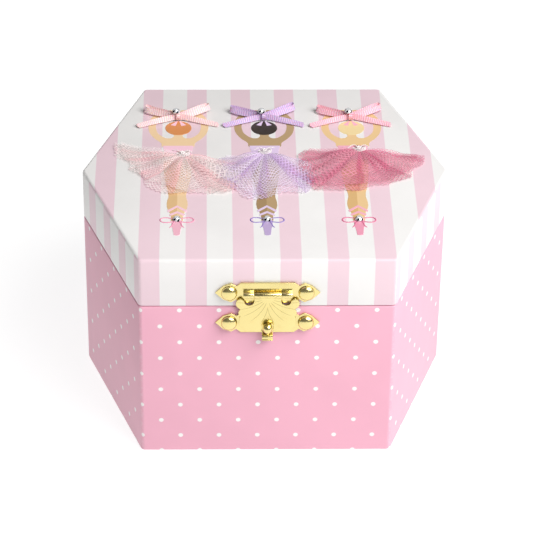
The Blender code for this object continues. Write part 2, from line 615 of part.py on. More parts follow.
def make_movement():
    cheek = BEDPLATE_REAR - PLATE                 # front of the rear cheek
    drum_back = cheek - FIT
    pinion_radius = PINION_TEETH * MODULE / 2
    wheel_radius = WHEEL_TEETH * FINE_MODULE / 2
    fan_radius = FAN_TEETH * FINE_MODULE / 2
    crown_pitch = 2 * math.pi * CROWN_RADIUS / CROWN_TEETH
    cylinder_x = GREAT_RADIUS + pinion_radius
    fan_x = cylinder_x + wheel_radius + fan_radius
    cylinder_back = TOOTH_TIP - FIT
    cylinder_front = cylinder_back - CYLINDER_LENGTH
    fine_back = cylinder_front - 1.5
    fine_front = fine_back - 1.5
    front_cheek = fine_front - 1.0
    fan_back = front_cheek - PLATE
    bed_low = BOARD + FIT

    crown_rim = CROWN_RADIUS + 1.0
    drum_front = WHEEL_FRONT + 0.4
    barrel = turned("spring_barrel", [(crown_rim, CROWN_FRONT), (crown_rim, drum_front),
                                      (DRUM_RADIUS, drum_front), (DRUM_RADIUS, drum_back)],
                    (0, AXIS_Z), "brass", "Y", 32)
    barrel = join(barrel, gear("great", GREAT_TEETH, GREAT_RADIUS, MODULE, (0, AXIS_Z), WHEEL_FRONT,
                               WHEEL_BACK, "Y"))
    teeth = bmesh.new()
    for i in range(CROWN_TEETH):
        turn = Matrix.Rotation(2 * math.pi * i / CROWN_TEETH, 4, "Y")
        place = Matrix.Translation(Vector((0, 0, AXIS_Z)) * MM) @ turn
        middle = Vector((0, (TOOTH_TIP + CROWN_FRONT + 0.3) / 2, CROWN_RADIUS)) * MM
        size = Vector((0.3 * crown_pitch, CROWN_TOOTH + 0.3, 1.4)) * MM
        bmesh.ops.create_cube(teeth, size=1.0, matrix=place @ Matrix.Translation(middle)
                              @ Matrix.Diagonal((*size, 1.0)))
    data = bpy.data.meshes.new("crown")
    teeth.to_mesh(data)
    teeth.free()
    crown = bpy.data.objects.new("crown", data)
    bpy.context.scene.collection.objects.link(crown)
    barrel = join(barrel, crown)
    barrel = cut(barrel, rod((0, AXIS_Z), ARBOR + RUNNING, TOOTH_TIP - 1, drum_back + 1, "Y"))

    key_back = HALF_DEPTH + FIT + 0.5 + FIT
    key = turned("winding_key", [(ARBOR, CROWN_FRONT), (ARBOR, key_back + FIT),
                                 (2 * ARBOR, key_back + FIT), (2 * ARBOR, key_back + 4.0),
                                 (1.5 * ARBOR - 0.05, key_back + 5.5)],
                 (0, AXIS_Z), "brass", "Y", 16)
    wing_y = key_back + 8.5
    wings = [(KEY_WING * math.cos(a), wing_y + 5.0 * math.sin(a)) for a in
             [2 * math.pi * i / 24 for i in range(24)]]
    wing = prism("wing", wings, AXIS_Z - 0.8, AXIS_Z + 0.8, "brass")
    holes = [rod((side * KEY_WING * 0.55, wing_y), 2.0, AXIS_Z - 2, AXIS_Z + 2, "Z") for side in (-1, 1)]
    key = join(key, cut(wing, *holes))
    plate_y = HALF_DEPTH + FIT
    turned("key_escutcheon", [(6.5, plate_y), (6.0, plate_y + 0.5), (ARBOR + 0.5, plate_y + 0.5),
                              (ARBOR + 0.5, plate_y)], (0, AXIS_Z), "brass", "Y", 24, ring=True)

    cylinder = turned("music_cylinder", [
        (CYLINDER_ARBOR, fan_back - 1.0), (CYLINDER_ARBOR, cylinder_front),
        (CYLINDER_RADIUS, cylinder_front), (CYLINDER_RADIUS, cylinder_back),
        (CYLINDER_ARBOR, cylinder_back), (CYLINDER_ARBOR, BEDPLATE_REAR)],
        (cylinder_x, AXIS_Z), "brass", "Y", 32)
    pinion = gear("pinion", PINION_TEETH, pinion_radius, MODULE, (cylinder_x, AXIS_Z), WHEEL_FRONT,
                  WHEEL_BACK, "Y", 180.0 / PINION_TEETH)
    fine = gear("fine", WHEEL_TEETH, wheel_radius, FINE_MODULE, (cylinder_x, AXIS_Z), fine_front,
                fine_back, "Y")
    join(cylinder, pinion, fine)

    blade_back = fan_back - 1.5
    blade_front = blade_back - FAN_BLADE
    fan = rod((fan_x, AXIS_Z), FAN_ARBOR, blade_front - 0.5, fine_back, "Y", "brass", 16, "governor_fan")
    fan = join(fan, gear("fan_pinion", FAN_TEETH, fan_radius, FINE_MODULE, (fan_x, AXIS_Z), fine_front,
                         fine_back, "Y", 180.0 / FAN_TEETH),
               box((fan_x - FAN_BLADE, blade_front, AXIS_Z - 0.3),
                   (fan_x + FAN_BLADE, blade_back, AXIS_Z + 0.3)),
               box((fan_x - 0.3, blade_front, AXIS_Z - FAN_BLADE),
                   (fan_x + 0.3, blade_back, AXIS_Z + FAN_BLADE)))

    comb_tip = cylinder_x + CYLINDER_RADIUS + TIP_GAP
    comb_root = comb_tip + COMB_REACH / 2
    comb_back = comb_tip + COMB_REACH
    pitch = CYLINDER_LENGTH / COMB_TEETH
    outline = [(comb_back, cylinder_back), (comb_back, cylinder_front)]
    for i in range(COMB_TEETH):
        low = cylinder_front + i * pitch + 0.15 * pitch
        high = low + 0.7 * pitch
        outline += [(comb_root, low), (comb_tip, low), (comb_tip, high), (comb_root, high)]
    prism("comb", outline, AXIS_Z - COMB / 2, AXIS_Z + COMB / 2, "bright_steel")
    box((comb_root + 0.5, cylinder_front, BED_TOP + FIT),
        (comb_back, cylinder_back, AXIS_Z - COMB / 2 - FIT), "brass", "comb_bed")

    sunk = BED_TOP - 0.2
    cheek_top = AXIS_Z + CHEEK_RISE
    bed = box((-GREAT_RADIUS - 1.5, front_cheek - 10.0, bed_low), (comb_back + 1.0, BEDPLATE_REAR, BED_TOP),
              "steel", "bedplate")
    rear_cheek = box((-GREAT_RADIUS, cheek, sunk), (cylinder_x + 4.0, BEDPLATE_REAR, cheek_top), "steel")
    fore_cheek = box((cylinder_x - 6.0, fan_back, sunk), (fan_x + 3.0, front_cheek, cheek_top), "steel")
    step = rod((0, SPINDLE_Y), SPINDLE + STEP_WALL, sunk, BED_TOP + STEP_RISE, "Z", "steel")
    bed = join(bed, rear_cheek, fore_cheek, step)
    bores = [rod((0, AXIS_Z), ARBOR + RUNNING, cheek - 1, BEDPLATE_REAR + 1, "Y"),
             rod((cylinder_x, AXIS_Z), CYLINDER_ARBOR + RUNNING, fan_back - 2, BEDPLATE_REAR + 1, "Y"),
             rod((fan_x, AXIS_Z), FAN_ARBOR + RUNNING, fan_back - 1, front_cheek + 1, "Y"),
             rod((0, SPINDLE_Y), SPINDLE + RUNNING, BED_TOP + 1.0 - FIT, BED_TOP + STEP_RISE + 2, "Z")]
    cut(bed, *bores)

    gear_z = AXIS_Z + CROWN_RADIUS
    turntable_low = FLOOR_TOP + BUSH_FLANGE + FIT
    spindle = rod((0, SPINDLE_Y), SPINDLE, BED_TOP + 1.0, turntable_low + TURNTABLE / 2, "Z",
                  "bright_steel", 16, "spindle")
    wheel = gear("spindle_wheel", SPINDLE_TEETH, SPINDLE_RADIUS, MODULE, (0, SPINDLE_Y), gear_z - 0.5,
                 gear_z + 0.5, "Z")
    spindle = join(spindle, wheel)
    lip = BUSH_RADIUS + BUSH_LIP
    bore = SPINDLE + RUNNING
    low = FLOOR_TOP - FLOOR - BUSH_BELOW
    high = FLOOR_TOP + BUSH_FLANGE
    bush = [(BUSH_RADIUS, low), (BUSH_RADIUS, FLOOR_TOP), (lip, FLOOR_TOP), (lip, high), (bore, high),
            (bore, low)]
    turned("spindle_bush", bush, (0, SPINDLE_Y), "brass", "Z", 20, ring=True)
    return turntable_low


# ---------------------------------------------------------------- dancer

def make_dancer(turntable_low):
    top = turntable_low + TURNTABLE
    table = turned("turntable", [(TURNTABLE_RADIUS, turntable_low), (TURNTABLE_RADIUS, top - 0.4),
                                 (TURNTABLE_RADIUS - 0.4, top)], (0, SPINDLE_Y), "velvet", "Z", 32)
    socket_top = turntable_low + TURNTABLE / 2 + FIT
    cut(table, rod((0, SPINDLE_Y), SPINDLE + FIT, turntable_low - 1, socket_top, "Z"))
    low = top + SPRING_WIRE + FIT
    rise = SPRING_HEIGHT - 2 * SPRING_WIRE
    steps = 11 * SPRING_TURNS
    coil = []
    for i in range(steps + 1):
        angle = 2 * math.pi * SPRING_TURNS * i / steps
        coil.append((SPRING_RADIUS * math.cos(angle), SPINDLE_Y + SPRING_RADIUS * math.sin(angle),
                     low + rise * i / steps))
    tube("dancer_spring", coil, SPRING_WIRE, "bright_steel")

    foot = low + rise + SPRING_WIRE + FIT
    mirror_low = HEIGHT - BOARD - FIT - LID_CEILING - FIT - MIRROR
    tall = mirror_low - DANCER_HEADROOM - foot
    shape = [(1.9, 0.0), (1.9, 0.02), (0.7, 0.04), (0.9, 0.08), (1.7, 0.2), (1.3, 0.29), (2.0, 0.4),
             (2.8, 0.5), (2.3, 0.53), (1.9, 0.6), (2.7, 0.67), (2.9, 0.72), (1.0, 0.75), (1.0, 0.775),
             (2.3, 0.81), (2.5, 0.84), (1.9, 0.88), (0.6, 0.9)]
    scale = tall / 42.0
    body = turned("dancer", [(r * scale, foot + h * tall) for r, h in shape], (0, SPINDLE_Y),
                  "moulded_plastic", "Z", 16)
    reach = [(-2.2, 0.7), (-5.0, 0.78), (-6.0, 0.86), (-4.2, 0.94), (0.0, 0.98),
             (4.2, 0.94), (6.0, 0.86), (5.0, 0.78), (2.2, 0.7)]
    arms = tube("arms", [(x * scale, SPINDLE_Y, foot + h * tall) for x, h in reach], 0.75 * scale,
                "moulded_plastic")
    body = join(body, arms)
    net_low = foot + 0.535 * tall
    skirt = turned("dancer_skirt", [(11.0 * scale, net_low - 0.8), (11.0 * scale, net_low),
                                    (2.9 * scale, net_low + 1.4), (2.9 * scale, net_low + 0.6)],
                   (0, SPINDLE_Y), "pale_net", "Z", 24, ring=True)
    joint_axis("dancer_axis", (0, SPINDLE_Y, low + rise / 2), [body, skirt])


clear_scene()
make_base()
make_dividers()
make_ring_cushion()
lid_pieces = make_lid()
left_hinge = make_hinge("left", -HINGE_X)
right_hinge = make_hinge("right", HINGE_X)
hasp_on_lid, hasp_flap, catch_lever, flap_pin, catch_axis = make_hasp()
lid_pieces += [left_hinge[0], right_hinge[0]] + hasp_on_lid + make_trimmings()
joint_axis("lid_axis", (0, HINGE_AXIS_Y, SEAM_MIDDLE), lid_pieces)
joint_axis("flap_axis", flap_pin, [hasp_flap])
joint_axis("catch_axis", catch_axis, [catch_lever])
make_dancer(make_movement())
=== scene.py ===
"""Papers, trimmings and metal of a hexagonal musical jewellery box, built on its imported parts."""

import json
import math
import random

import bpy
from bpy.props import FloatProperty, FloatVectorProperty, IntProperty, PointerProperty
from mathutils import Matrix, Vector, noise as clouding


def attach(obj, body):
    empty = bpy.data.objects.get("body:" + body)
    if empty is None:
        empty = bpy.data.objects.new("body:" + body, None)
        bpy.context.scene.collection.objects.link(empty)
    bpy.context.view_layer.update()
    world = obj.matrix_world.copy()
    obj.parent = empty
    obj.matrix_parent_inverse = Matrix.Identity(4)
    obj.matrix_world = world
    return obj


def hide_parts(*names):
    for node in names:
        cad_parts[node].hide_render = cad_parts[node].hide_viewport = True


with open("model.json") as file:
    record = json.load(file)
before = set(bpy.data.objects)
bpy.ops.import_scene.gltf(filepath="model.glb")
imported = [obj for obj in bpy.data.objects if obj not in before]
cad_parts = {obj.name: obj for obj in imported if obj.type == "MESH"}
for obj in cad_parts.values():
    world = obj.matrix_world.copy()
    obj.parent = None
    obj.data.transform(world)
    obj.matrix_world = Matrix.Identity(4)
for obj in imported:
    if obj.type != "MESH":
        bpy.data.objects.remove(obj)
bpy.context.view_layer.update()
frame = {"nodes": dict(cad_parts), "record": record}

bl_info = {
    "name": "Ballerina Jewellery Box",
    "version": (1, 0, 0),
    "blender": (4, 5, 0),
    "location": "View3D > Sidebar > Jewellery Box",
    "description": "Covers, trims and furnishes a hexagonal musical jewellery box",
    "category": "Object",
}

MM = 0.001
SIDES = ("left", "middle", "right")

# Sizes in millimetres, the way the box's maker would write them down.
CORNER_X = 50.0                 # half length of the front panel
POINT_X = 74.0                  # left and right corners
HALF_DEPTH = 64.5
LID_TOP = 93.0
LID_LOW = 71.3
RIM = 71.0
SEAM = 71.15
WALL = 2.5
FIGURE_X = {"left": -35.3, "middle": 0.2, "right": 36.3}
BOW_Y = 38.6
SHOE_Y = -36.7
HASP_UP = 7.05
TACK_X = 15.0
HINGE_X = 31.0
CATCH_Y = -66.0                 # the ball catch swings on this line
CATCH_Z = 57.7
KEY_Z = 17.0                    # height of the winding key, and the hole for it in the back
KEY_BORE = 2.0
STRIPE_PITCH = 18.3
STRIPE_START = 9.4              # how far the stripes' middle lies from the paper's start
CUSHION = (25.55, -59.85, -9.45, 34.0, 54.0)   # half length, front, back, underside, top
ROLLS = 5
DANCER_Y = 24.0
FOOT = 44.6                     # underside of the little dancer's stand
DANCER_TALL = 39.4


# ---------------------------------------------------------------- colours and materials

def linear(code):
    """An sRGB hex value as a linear colour."""
    parts = [int(code[i:i + 2], 16) / 255 for i in (0, 2, 4)]
    return [c / 12.92 if c <= 0.04045 else ((c + 0.055) / 1.055) ** 2.4 for c in parts] + [1.0]


def add_node(tree, kind, settings=(), links=()):
    """Adds a shader node; a setting is an attribute or a socket, a link is a socket and what feeds it."""
    made = tree.nodes.new("ShaderNode" + kind)
    for key, value in dict(settings).items():
        if isinstance(key, str) and hasattr(made, key) and key not in made.inputs:
            setattr(made, key, value)
        else:
            made.inputs[key].default_value = value
    for key, source in dict(links).items():
        tree.links.new(source, made.inputs[key])
    return made


def new_material(name, **sockets):
    """A material whose surface starts from these constant sockets."""
    material = bpy.data.materials.new(name)
    material.use_nodes = True
    tree = material.node_tree
    shader = tree.nodes["Principled BSDF"]
    for key, value in sockets.items():
        shader.inputs[key.replace("_", " ")].default_value = value
    return material, tree, shader


def cell(tree, source, scale, turn=0.0, shift=(0.0, 0.0, 0.0)):
    """Coordinates within a repeating cell, -0.5 to 0.5, after scaling, turning and shifting."""
    mapped = add_node(tree, "Mapping", {"Scale": scale, "Rotation": (0, 0, turn), "Location": shift},
                      {"Vector": source})
    part = add_node(tree, "VectorMath", {"operation": "FRACTION"}, {0: mapped.outputs[0]})
    return add_node(tree, "VectorMath", {"operation": "SUBTRACT", 1: (0.5, 0.5, 0.5)},
                    {0: part.outputs[0]}).outputs[0]


def step_between(tree, source, start, end, low=0.0, high=1.0):
    """Rises smoothly from low to high as the source goes from start to end."""
    return add_node(tree, "MapRange", {"interpolation_type": "SMOOTHSTEP", "From Min": start,
                                       "From Max": end, "To Min": low, "To Max": high},
                    {"Value": source}).outputs[0]


def math_node(tree, operation, first, second=None):
    """One sum on values or sockets."""
    made = add_node(tree, "Math", {"operation": operation})
    for index, item in enumerate((first, second)):
        if item is None:
            continue
        if isinstance(item, (int, float)):
            made.inputs[index].default_value = item
        else:
            tree.links.new(item, made.inputs[index])
    return made.outputs[0]


def mix_colour(tree, amount, first, second):
    """Blends two colours, each a hex value, a linear colour or a socket."""
    made = add_node(tree, "Mix", {"data_type": "RGBA"})
    for index, item in ((0, amount), (6, first), (7, second)):
        if isinstance(item, str):
            made.inputs[index].default_value = linear(item)
        elif isinstance(item, (int, float, tuple)):
            made.inputs[index].default_value = item
        else:
            tree.links.new(item, made.inputs[index])
    return made.outputs[2]


def noise(tree, source, scale, detail=2.0, roughness=0.5):
    """Cloudy noise from 0 to 1; its scale is in cells a metre on the object's own coordinates."""
    return add_node(tree, "TexNoise", {"Scale": scale, "Detail": detail, "Roughness": roughness},
                    {"Vector": source}).outputs[0]


def bump(tree, shader, height, strength, depth):
    """Feeds a height into the shader's normal; depth is in metres."""
    made = add_node(tree, "Bump", {"Strength": strength, "Distance": depth}, {"Height": height})
    tree.links.new(made.outputs[0], shader.inputs["Normal"])


def uv_source(tree, name="in_mm"):
    """A map of the piece, in millimetres."""
    return add_node(tree, "UVMap", {"uv_map": name}).outputs[0]


def object_source(tree):
    """The piece's own coordinates, in metres."""
    return add_node(tree, "TexCoord").outputs["Object"]


def axes(tree, source):
    """The three coordinates of a vector, one socket each."""
    return add_node(tree, "SeparateXYZ", {}, {0: source}).outputs


def paper(name, ground, pattern_of, white):
    """Art paper, printed and satin varnished: soft gloss, fine fibre, edges rubbed pale where it folds."""
    material, tree, shader = new_material(name, Roughness=0.42, IOR=1.48)
    uv = uv_source(tree)
    colour = mix_colour(tree, pattern_of(tree, uv), ground, white)
    place = object_source(tree)
    # clouding of the board under the paper, about 25 mm across
    cloud = step_between(tree, noise(tree, place, 40, 3), 0.3, 0.7, 0.975, 1.015)
    tinted = add_node(tree, "VectorMath", {"operation": "SCALE"}, {0: colour, 3: cloud}).outputs[0]
    # rubbed folds: distance to the nearest upright corner, in mm
    ends = axes(tree, uv_source(tree, "to_corner"))
    near = math_node(tree, "MINIMUM", ends[0], ends[1])
    rub = step_between(tree, near, 1.6, 0.0)
    broken = step_between(tree, noise(tree, place, 900, 4), 0.42, 0.62)
    worn = math_node(tree, "MULTIPLY", math_node(tree, "MULTIPLY", rub, broken), 0.16)
    tree.links.new(mix_colour(tree, worn, tinted, "FBF7F5"), shader.inputs["Base Color"])
    # paper tooth, drawn at 0.6 mm so that it shows
    tooth = noise(tree, place, 1600, 3)
    sag = noise(tree, place, 60, 2)
    bump(tree, shader, math_node(tree, "ADD", math_node(tree, "MULTIPLY", tooth, 0.12), sag), 0.35, 0.0004)
    return material


def dots(tree, uv):
    """White dots 1.9 mm across on a lattice turned by 45 degrees, 7.7 mm between rows."""
    pitch, radius, dot_x, dot_y = 15.4, 0.95, -3.5, 7.8      # one dot's place on the front panel
    scale = math.sqrt(2) / pitch
    spot = cell(tree, uv, (scale, scale, 0), math.pi / 4,
                (0.5 - (dot_x - dot_y) / pitch, 0.5 - (dot_x + dot_y) / pitch, 0))
    flat = add_node(tree, "VectorMath", {"operation": "MULTIPLY", 1: (1, 1, 0)}, {0: spot}).outputs[0]
    size = add_node(tree, "VectorMath", {"operation": "LENGTH"}, {0: flat}).outputs[1]
    return step_between(tree, size, radius * scale * 1.12, radius * scale * 0.88)


def stripes(tree, uv):
    """Printed stripes: 8.2 mm coloured, 10.1 mm white."""
    band = cell(tree, uv, (1 / STRIPE_PITCH, 0, 0), 0.0, (0.5 + STRIPE_START / STRIPE_PITCH, 0, 0))
    across = axes(tree, band)[0]
    return step_between(tree, math_node(tree, "ABSOLUTE", across), 4.02 / STRIPE_PITCH, 4.18 / STRIPE_PITCH)


def ink(name, colour):
    """Flat printing ink under varnish: even colour, with the paper's tooth showing through."""
    material, tree, shader = new_material(name, Roughness=0.4, IOR=1.48, Base_Color=linear(colour))
    bump(tree, shader, noise(tree, object_source(tree), 1600, 3), 0.1, 0.0002)
    return material


def grosgrain(name, light, dark):
    """Woven polyester grosgrain: cross ribs, drawn 0.8 mm apart so that they show, with a silky face."""
    material, tree, shader = new_material(name, Roughness=0.5, IOR=1.5, Sheen_Weight=0.35, Sheen_Roughness=0.4,
                                          Subsurface_Weight=0.15, Subsurface_Scale=0.001)
    rib = axes(tree, cell(tree, uv_source(tree), (0, 1 / 0.8, 0)))[1]
    rib_height_and_groove_shade = step_between(tree, math_node(tree, "ABSOLUTE", rib), 0.5, 0.05)
    # the grooves between the ribs take the dark colour: painted shade in the grooves
    tree.links.new(mix_colour(tree, rib_height_and_groove_shade, dark, light), shader.inputs["Base Color"])
    bump(tree, shader, rib_height_and_groove_shade, 0.5, 0.00014)
    return material


def tulle(name, thread, shade, cover=0.26, hole=0.1):
    """Nylon tulle: diamonds drawn 1.05 mm wide so that they show, soft threads, denser where it is gathered."""
    material, tree, shader = new_material(name, Roughness=0.55, IOR=1.53, Sheen_Weight=0.3)
    uv = uv_source(tree)
    pitch = 1.05
    net = axes(tree, cell(tree, uv, (1 / pitch, 0.8 / pitch, 0), math.pi / 4))
    nearest = math_node(tree, "MAXIMUM", *[math_node(tree, "ABSOLUTE", net[k]) for k in (0, 1)])
    edge, soft = 0.5 - cover / 2, 0.07
    line = step_between(tree, nearest, edge - soft, edge + soft, 0.0, 0.52)
    # folds run from the knot to the hem: streaks 3 mm wide across the cloth and long down it
    down = axes(tree, uv)[1]
    long_folds = add_node(tree, "Mapping", {"Scale": (0.33, 0.018, 1.0)}, {"Vector": uv}).outputs[0]
    fold = step_between(tree, noise(tree, long_folds, 1.0, 2), 0.42, 0.62)
    gathered = step_between(tree, down, 19.0, 3.0, 0.0, 0.42)
    veil = math_node(tree, "MULTIPLY", fold, math_node(tree, "ADD", gathered, 0.07))
    # the streaks also take the shade colour: painted shade in the folds, beside the denser net given by the
    # alpha below
    tree.links.new(mix_colour(tree, fold, thread, shade), shader.inputs["Base Color"])
    cover_up = math_node(tree, "ADD", math_node(tree, "ADD", line, veil), hole)
    tree.links.new(math_node(tree, "MINIMUM", cover_up, 0.94), shader.inputs["Alpha"])
    return material


def metal(name, colour, tarnish, rough=0.22, grain=260, engraved=False):
    """Stamped sheet metal, bright dipped: mirror-like with faint rolling marks and dull spots."""
    material, tree, shader = new_material(name, Metallic=1.0)
    place = object_source(tree)
    spots = step_between(tree, noise(tree, place, grain, 4, 0.6), 0.5, 0.85, 0.0, 0.4)
    tone = mix_colour(tree, spots, colour, tarnish)
    height = noise(tree, place, 90, 1)
    if engraved:
        # a palm of fine lines that springs from below the flap's barrel
        line = palm_lines(tree, place)
        # the lines are coloured a darker brass: painted shade in the engraved grooves
        tone = mix_colour(tree, line, tone, "A8904C")
        height = math_node(tree, "SUBTRACT", height, math_node(tree, "MULTIPLY", line, 2.0))
    tree.links.new(tone, shader.inputs["Base Color"])
    tree.links.new(step_between(tree, noise(tree, place, 150, 2), 0.3, 0.7, rough * 0.85, rough * 1.25),
                   shader.inputs["Roughness"])
    bump(tree, shader, height, 0.12 if engraved else 0.04, 0.0002)
    return material


def palm_lines(tree, place):
    """Engraved lines fanning down and outwards over the hasp's flap, 0.15 mm wide."""
    root = 0.0765               # height that the palm springs from, in metres
    curl = 30.0                 # how far a line bends, in radians a metre
    lines = 3.4                 # lines to a radian
    half_width = 0.00026
    apart = axes(tree, place)
    across = apart[0]
    below = math_node(tree, "SUBTRACT", root, apart[2])
    reach = math_node(tree, "SQRT", math_node(tree, "ADD", math_node(tree, "MULTIPLY", across, across),
                                              math_node(tree, "MULTIPLY", below, below)))
    turn = math_node(tree, "ARCTAN2", math_node(tree, "ABSOLUTE", across), below)
    bent = math_node(tree, "SUBTRACT", turn, math_node(tree, "MULTIPLY", reach, curl))
    turns = math_node(tree, "FRACT", math_node(tree, "MULTIPLY", bent, lines))
    off_line = math_node(tree, "ABSOLUTE", math_node(tree, "SUBTRACT", turns, 0.5))
    width = math_node(tree, "DIVIDE", half_width, math_node(tree, "MAXIMUM", reach, 0.002))
    line = math_node(tree, "LESS_THAN", off_line, width)
    # the lines start 3 mm from the root and fade out before the flap's foot
    inner = step_between(tree, reach, 0.0022, 0.0034)
    outer = step_between(tree, reach, 0.0135, 0.0105)
    return math_node(tree, "MULTIPLY", math_node(tree, "MULTIPLY", line, inner),
                     math_node(tree, "MULTIPLY", outer, 0.75))


def plain(name, light, dark, grain, rough=0.6, depth=0.0002, strength=0.3, **sockets):
    """A surface that varies between two tones over a grain given in millimetres."""
    material, tree, shader = new_material(name, Roughness=rough, **sockets)
    place = object_source(tree)
    tone = step_between(tree, noise(tree, place, 1 / (grain * MM), 4, 0.6), 0.35, 0.65)
    tree.links.new(mix_colour(tree, tone, light, dark), shader.inputs["Base Color"])
    bump(tree, shader, tone, strength, depth)
    return material


def painted_figure():
    """Styrene moulded in one piece and painted by hand: skin, a satin bodice and slippers, edges crisp."""
    material, tree, shader = new_material("painted_styrene", Roughness=0.34, IOR=1.53, Subsurface_Weight=0.12,
                                          Subsurface_Scale=0.001)
    place = object_source(tree)
    height = axes(tree, place)[2]
    top, low, ankle = (at_height(share) * MM for share in (0.69, 0.49, 0.085))
    crisp = 0.04 * MM
    bodice = math_node(tree, "MULTIPLY", step_between(tree, height, low - crisp, low + crisp),
                       step_between(tree, height, top + crisp, top - crisp))
    slipper = step_between(tree, height, ankle + crisp, ankle - crisp)
    brush = step_between(tree, noise(tree, place, 900, 2), 0.3, 0.7, 0.0, 0.5)
    skin = mix_colour(tree, brush, "F3CDB2", "EDC0A2")
    paint = mix_colour(tree, brush, "F7A8C4", "F095B6")
    tree.links.new(mix_colour(tree, math_node(tree, "MAXIMUM", bodice, slipper), skin, paint),
                   shader.inputs["Base Color"])
    bump(tree, shader, brush, 0.15, 0.00005)
    return material


def at_height(share):
    """A height on the little dancer, from 0 at the stand to 1."""
    return FOOT + share * DANCER_TALL


MATERIALS = {}


def make_materials():
    """Every finish on the box, by the name of its slot or use."""
    MATERIALS.update({
        "dotted_paper": paper("dotted_art_paper", "EEAFC3", dots, "F8F4F2"),
        "striped_paper": paper("striped_art_paper", "ECD0D9", stripes, "EFEDEB"),
        # grey chip board: speckled fibres, quite matt
        "greyboard": plain("chip_board", "A9A196", "8E867B", 0.5, 0.85),
        # rayon flock: short upright fibres that catch light at the edge
        "flock": plain("rayon_flock", "F3B7C8", "E79FB4", 0.35, 0.95, 0.0003, 0.6, Sheen_Weight=0.7,
                       Sheen_Roughness=0.5),
        "velvet": plain("cotton_velvet", "F6C3D1", "E8A3B9", 0.5, 0.9, 0.0003, 0.6, Sheen_Weight=0.9,
                        Sheen_Roughness=0.35),
        "stamped_brass": metal("bright_dipped_brass", "ECDB98", "E0C274"),
        "engraved_brass": metal("engraved_brass", "ECDB98", "E0C274", engraved=True),
        "brass": metal("turned_brass", "E2BE6A", "C79A48", 0.28),
        "steel": metal("drawn_steel", "C9CBCE", "A7A9AD", 0.3),
        "mirror_glass": plain("silvered_glass", "F4F5F6", "F2F4F4", 9.0, 0.02, 0.00001, 0.01, Metallic=1.0),
        # spun cotton: soft white twist
        "thread": plain("cotton_thread", "FFFDFB", "EFE4E4", 0.3, 0.75, 0.0001, 0.5, Sheen_Weight=0.3),
        # foil-backed acrylic: clear facets over bright foil
        "rhinestone": plain("foiled_acrylic", "FFFFFF", "EEF0F4", 0.8, 0.05, 0.00002, 0.05, Metallic=0.35,
                            Coat_Weight=1.0, Coat_Roughness=0.02),
        # a dark tone for every second facet of the stones: painted reflection
        "dark_facet_reflection": plain("painted_facet_reflection", "4A4C52", "2E3036", 0.8, 0.08, 0.00002, 0.05, Metallic=0.9),
        "moulded_plastic": plain("moulded_styrene", "F8DCCB", "F4D2BF", 2.0, 0.35, 0.00005, 0.1,
                                 Subsurface_Weight=0.1, Subsurface_Scale=0.001),
        "painted_figure": painted_figure(),
        "painted_hair": plain("acrylic_paint_brown", "6A4630", "55361F", 0.4, 0.4, 0.0001, 0.3),
        "painted_eye": plain("acrylic_paint_dark", "2C2422", "3A2E2A", 0.5, 0.25, 0.00002, 0.1),
        "painted_lip": plain("acrylic_paint_rose", "D86B7C", "CC5C70", 0.5, 0.35, 0.00002, 0.1),
        # each ribbon's second colour is painted shade for the grooves between its ribs
        "pale_ribbon": grosgrain("pale_grosgrain", "FFE4E2", "F7C3C8"),
        "lilac_ribbon": grosgrain("lilac_grosgrain", "E3C9EA", "C3A0D2"),
        "rose_ribbon": grosgrain("rose_grosgrain", "FFCFD9", "F9A6BB"),
        # each tulle's and the net's second colour is painted shade for its folds
        "pale_tulle": tulle("pale_tulle", "FFF1EF", "FFCDD0"),
        "lilac_tulle": tulle("lilac_tulle", "FAEBFD", "E3C2F2"),
        "rose_tulle": tulle("rose_tulle", "F4A0B5", "D8688A", 0.3, 0.14),
        "net": tulle("white_net", "FFF6F8", "FBE0E8", 0.26, 0.12),
    })


# ---------------------------------------------------------------- modelling by hand

def only(piece=None):
    """Object mode, nothing selected but this piece."""
    if bpy.context.object and bpy.context.object.mode != "OBJECT":
        bpy.ops.object.mode_set(mode="OBJECT")
    bpy.ops.object.select_all(action="DESELECT")
    if piece:
        piece.select_set(True)
        bpy.context.view_layer.objects.active = piece
    return piece


def settle(piece):
    """Puts a piece's place, turn and scale into its mesh."""
    only(piece)
    bpy.ops.object.transform_apply(location=True, rotation=True, scale=True)
    return piece


def modify(piece, kind, **settings):
    """Adds a modifier and applies it."""
    only(piece)
    modifier = piece.modifiers.new(kind.title(), kind)
    for key, value in settings.items():
        setattr(modifier, key, value)
    bpy.ops.object.modifier_apply(modifier=modifier.name)
    return piece


def move(piece, offset=(0, 0, 0), turn=(0, 0, 0), scale=(1, 1, 1)):
    """Scales, turns and shifts a piece's mesh, sizes in millimetres and angles in degrees."""
    piece.location = offset
    piece.rotation_euler = [math.radians(a) for a in turn]
    piece.scale = scale
    return settle(piece)


def join(pieces):
    """Joins pieces into the first."""
    only(pieces[0])
    for piece in pieces:
        piece.select_set(True)
    bpy.ops.object.join()
    return bpy.context.object


def edit(piece, mode, test):
    """Enters edit mode with those vertices, edges or faces chosen that pass a test of middle and normal."""
    only(piece)
    bpy.ops.object.mode_set(mode="EDIT")
    bpy.ops.mesh.select_mode(type=mode)
    bpy.ops.mesh.select_all(action="DESELECT")
    bpy.ops.object.mode_set(mode="OBJECT")
    mesh = piece.data
    if mode == "FACE":
        for face in mesh.polygons:
            face.select = bool(test(face.center, face.normal))
    elif mode == "EDGE":
        for edge in mesh.edges:
            ends = [mesh.vertices[i].co for i in edge.vertices]
            edge.select = bool(test((ends[0] + ends[1]) / 2, ends[1] - ends[0]))
    else:
        for vertex in mesh.vertices:
            vertex.select = bool(test(vertex.co, vertex.normal))
    bpy.ops.object.mode_set(mode="EDIT")


def outward(piece, doubles=0.0005):
    """Merges doubles and turns every face outwards."""
    edit(piece, "VERT", lambda place, normal: True)
    bpy.ops.mesh.remove_doubles(threshold=doubles)
    bpy.ops.mesh.normals_make_consistent(inside=False)
    bpy.ops.object.mode_set(mode="OBJECT")
    return piece


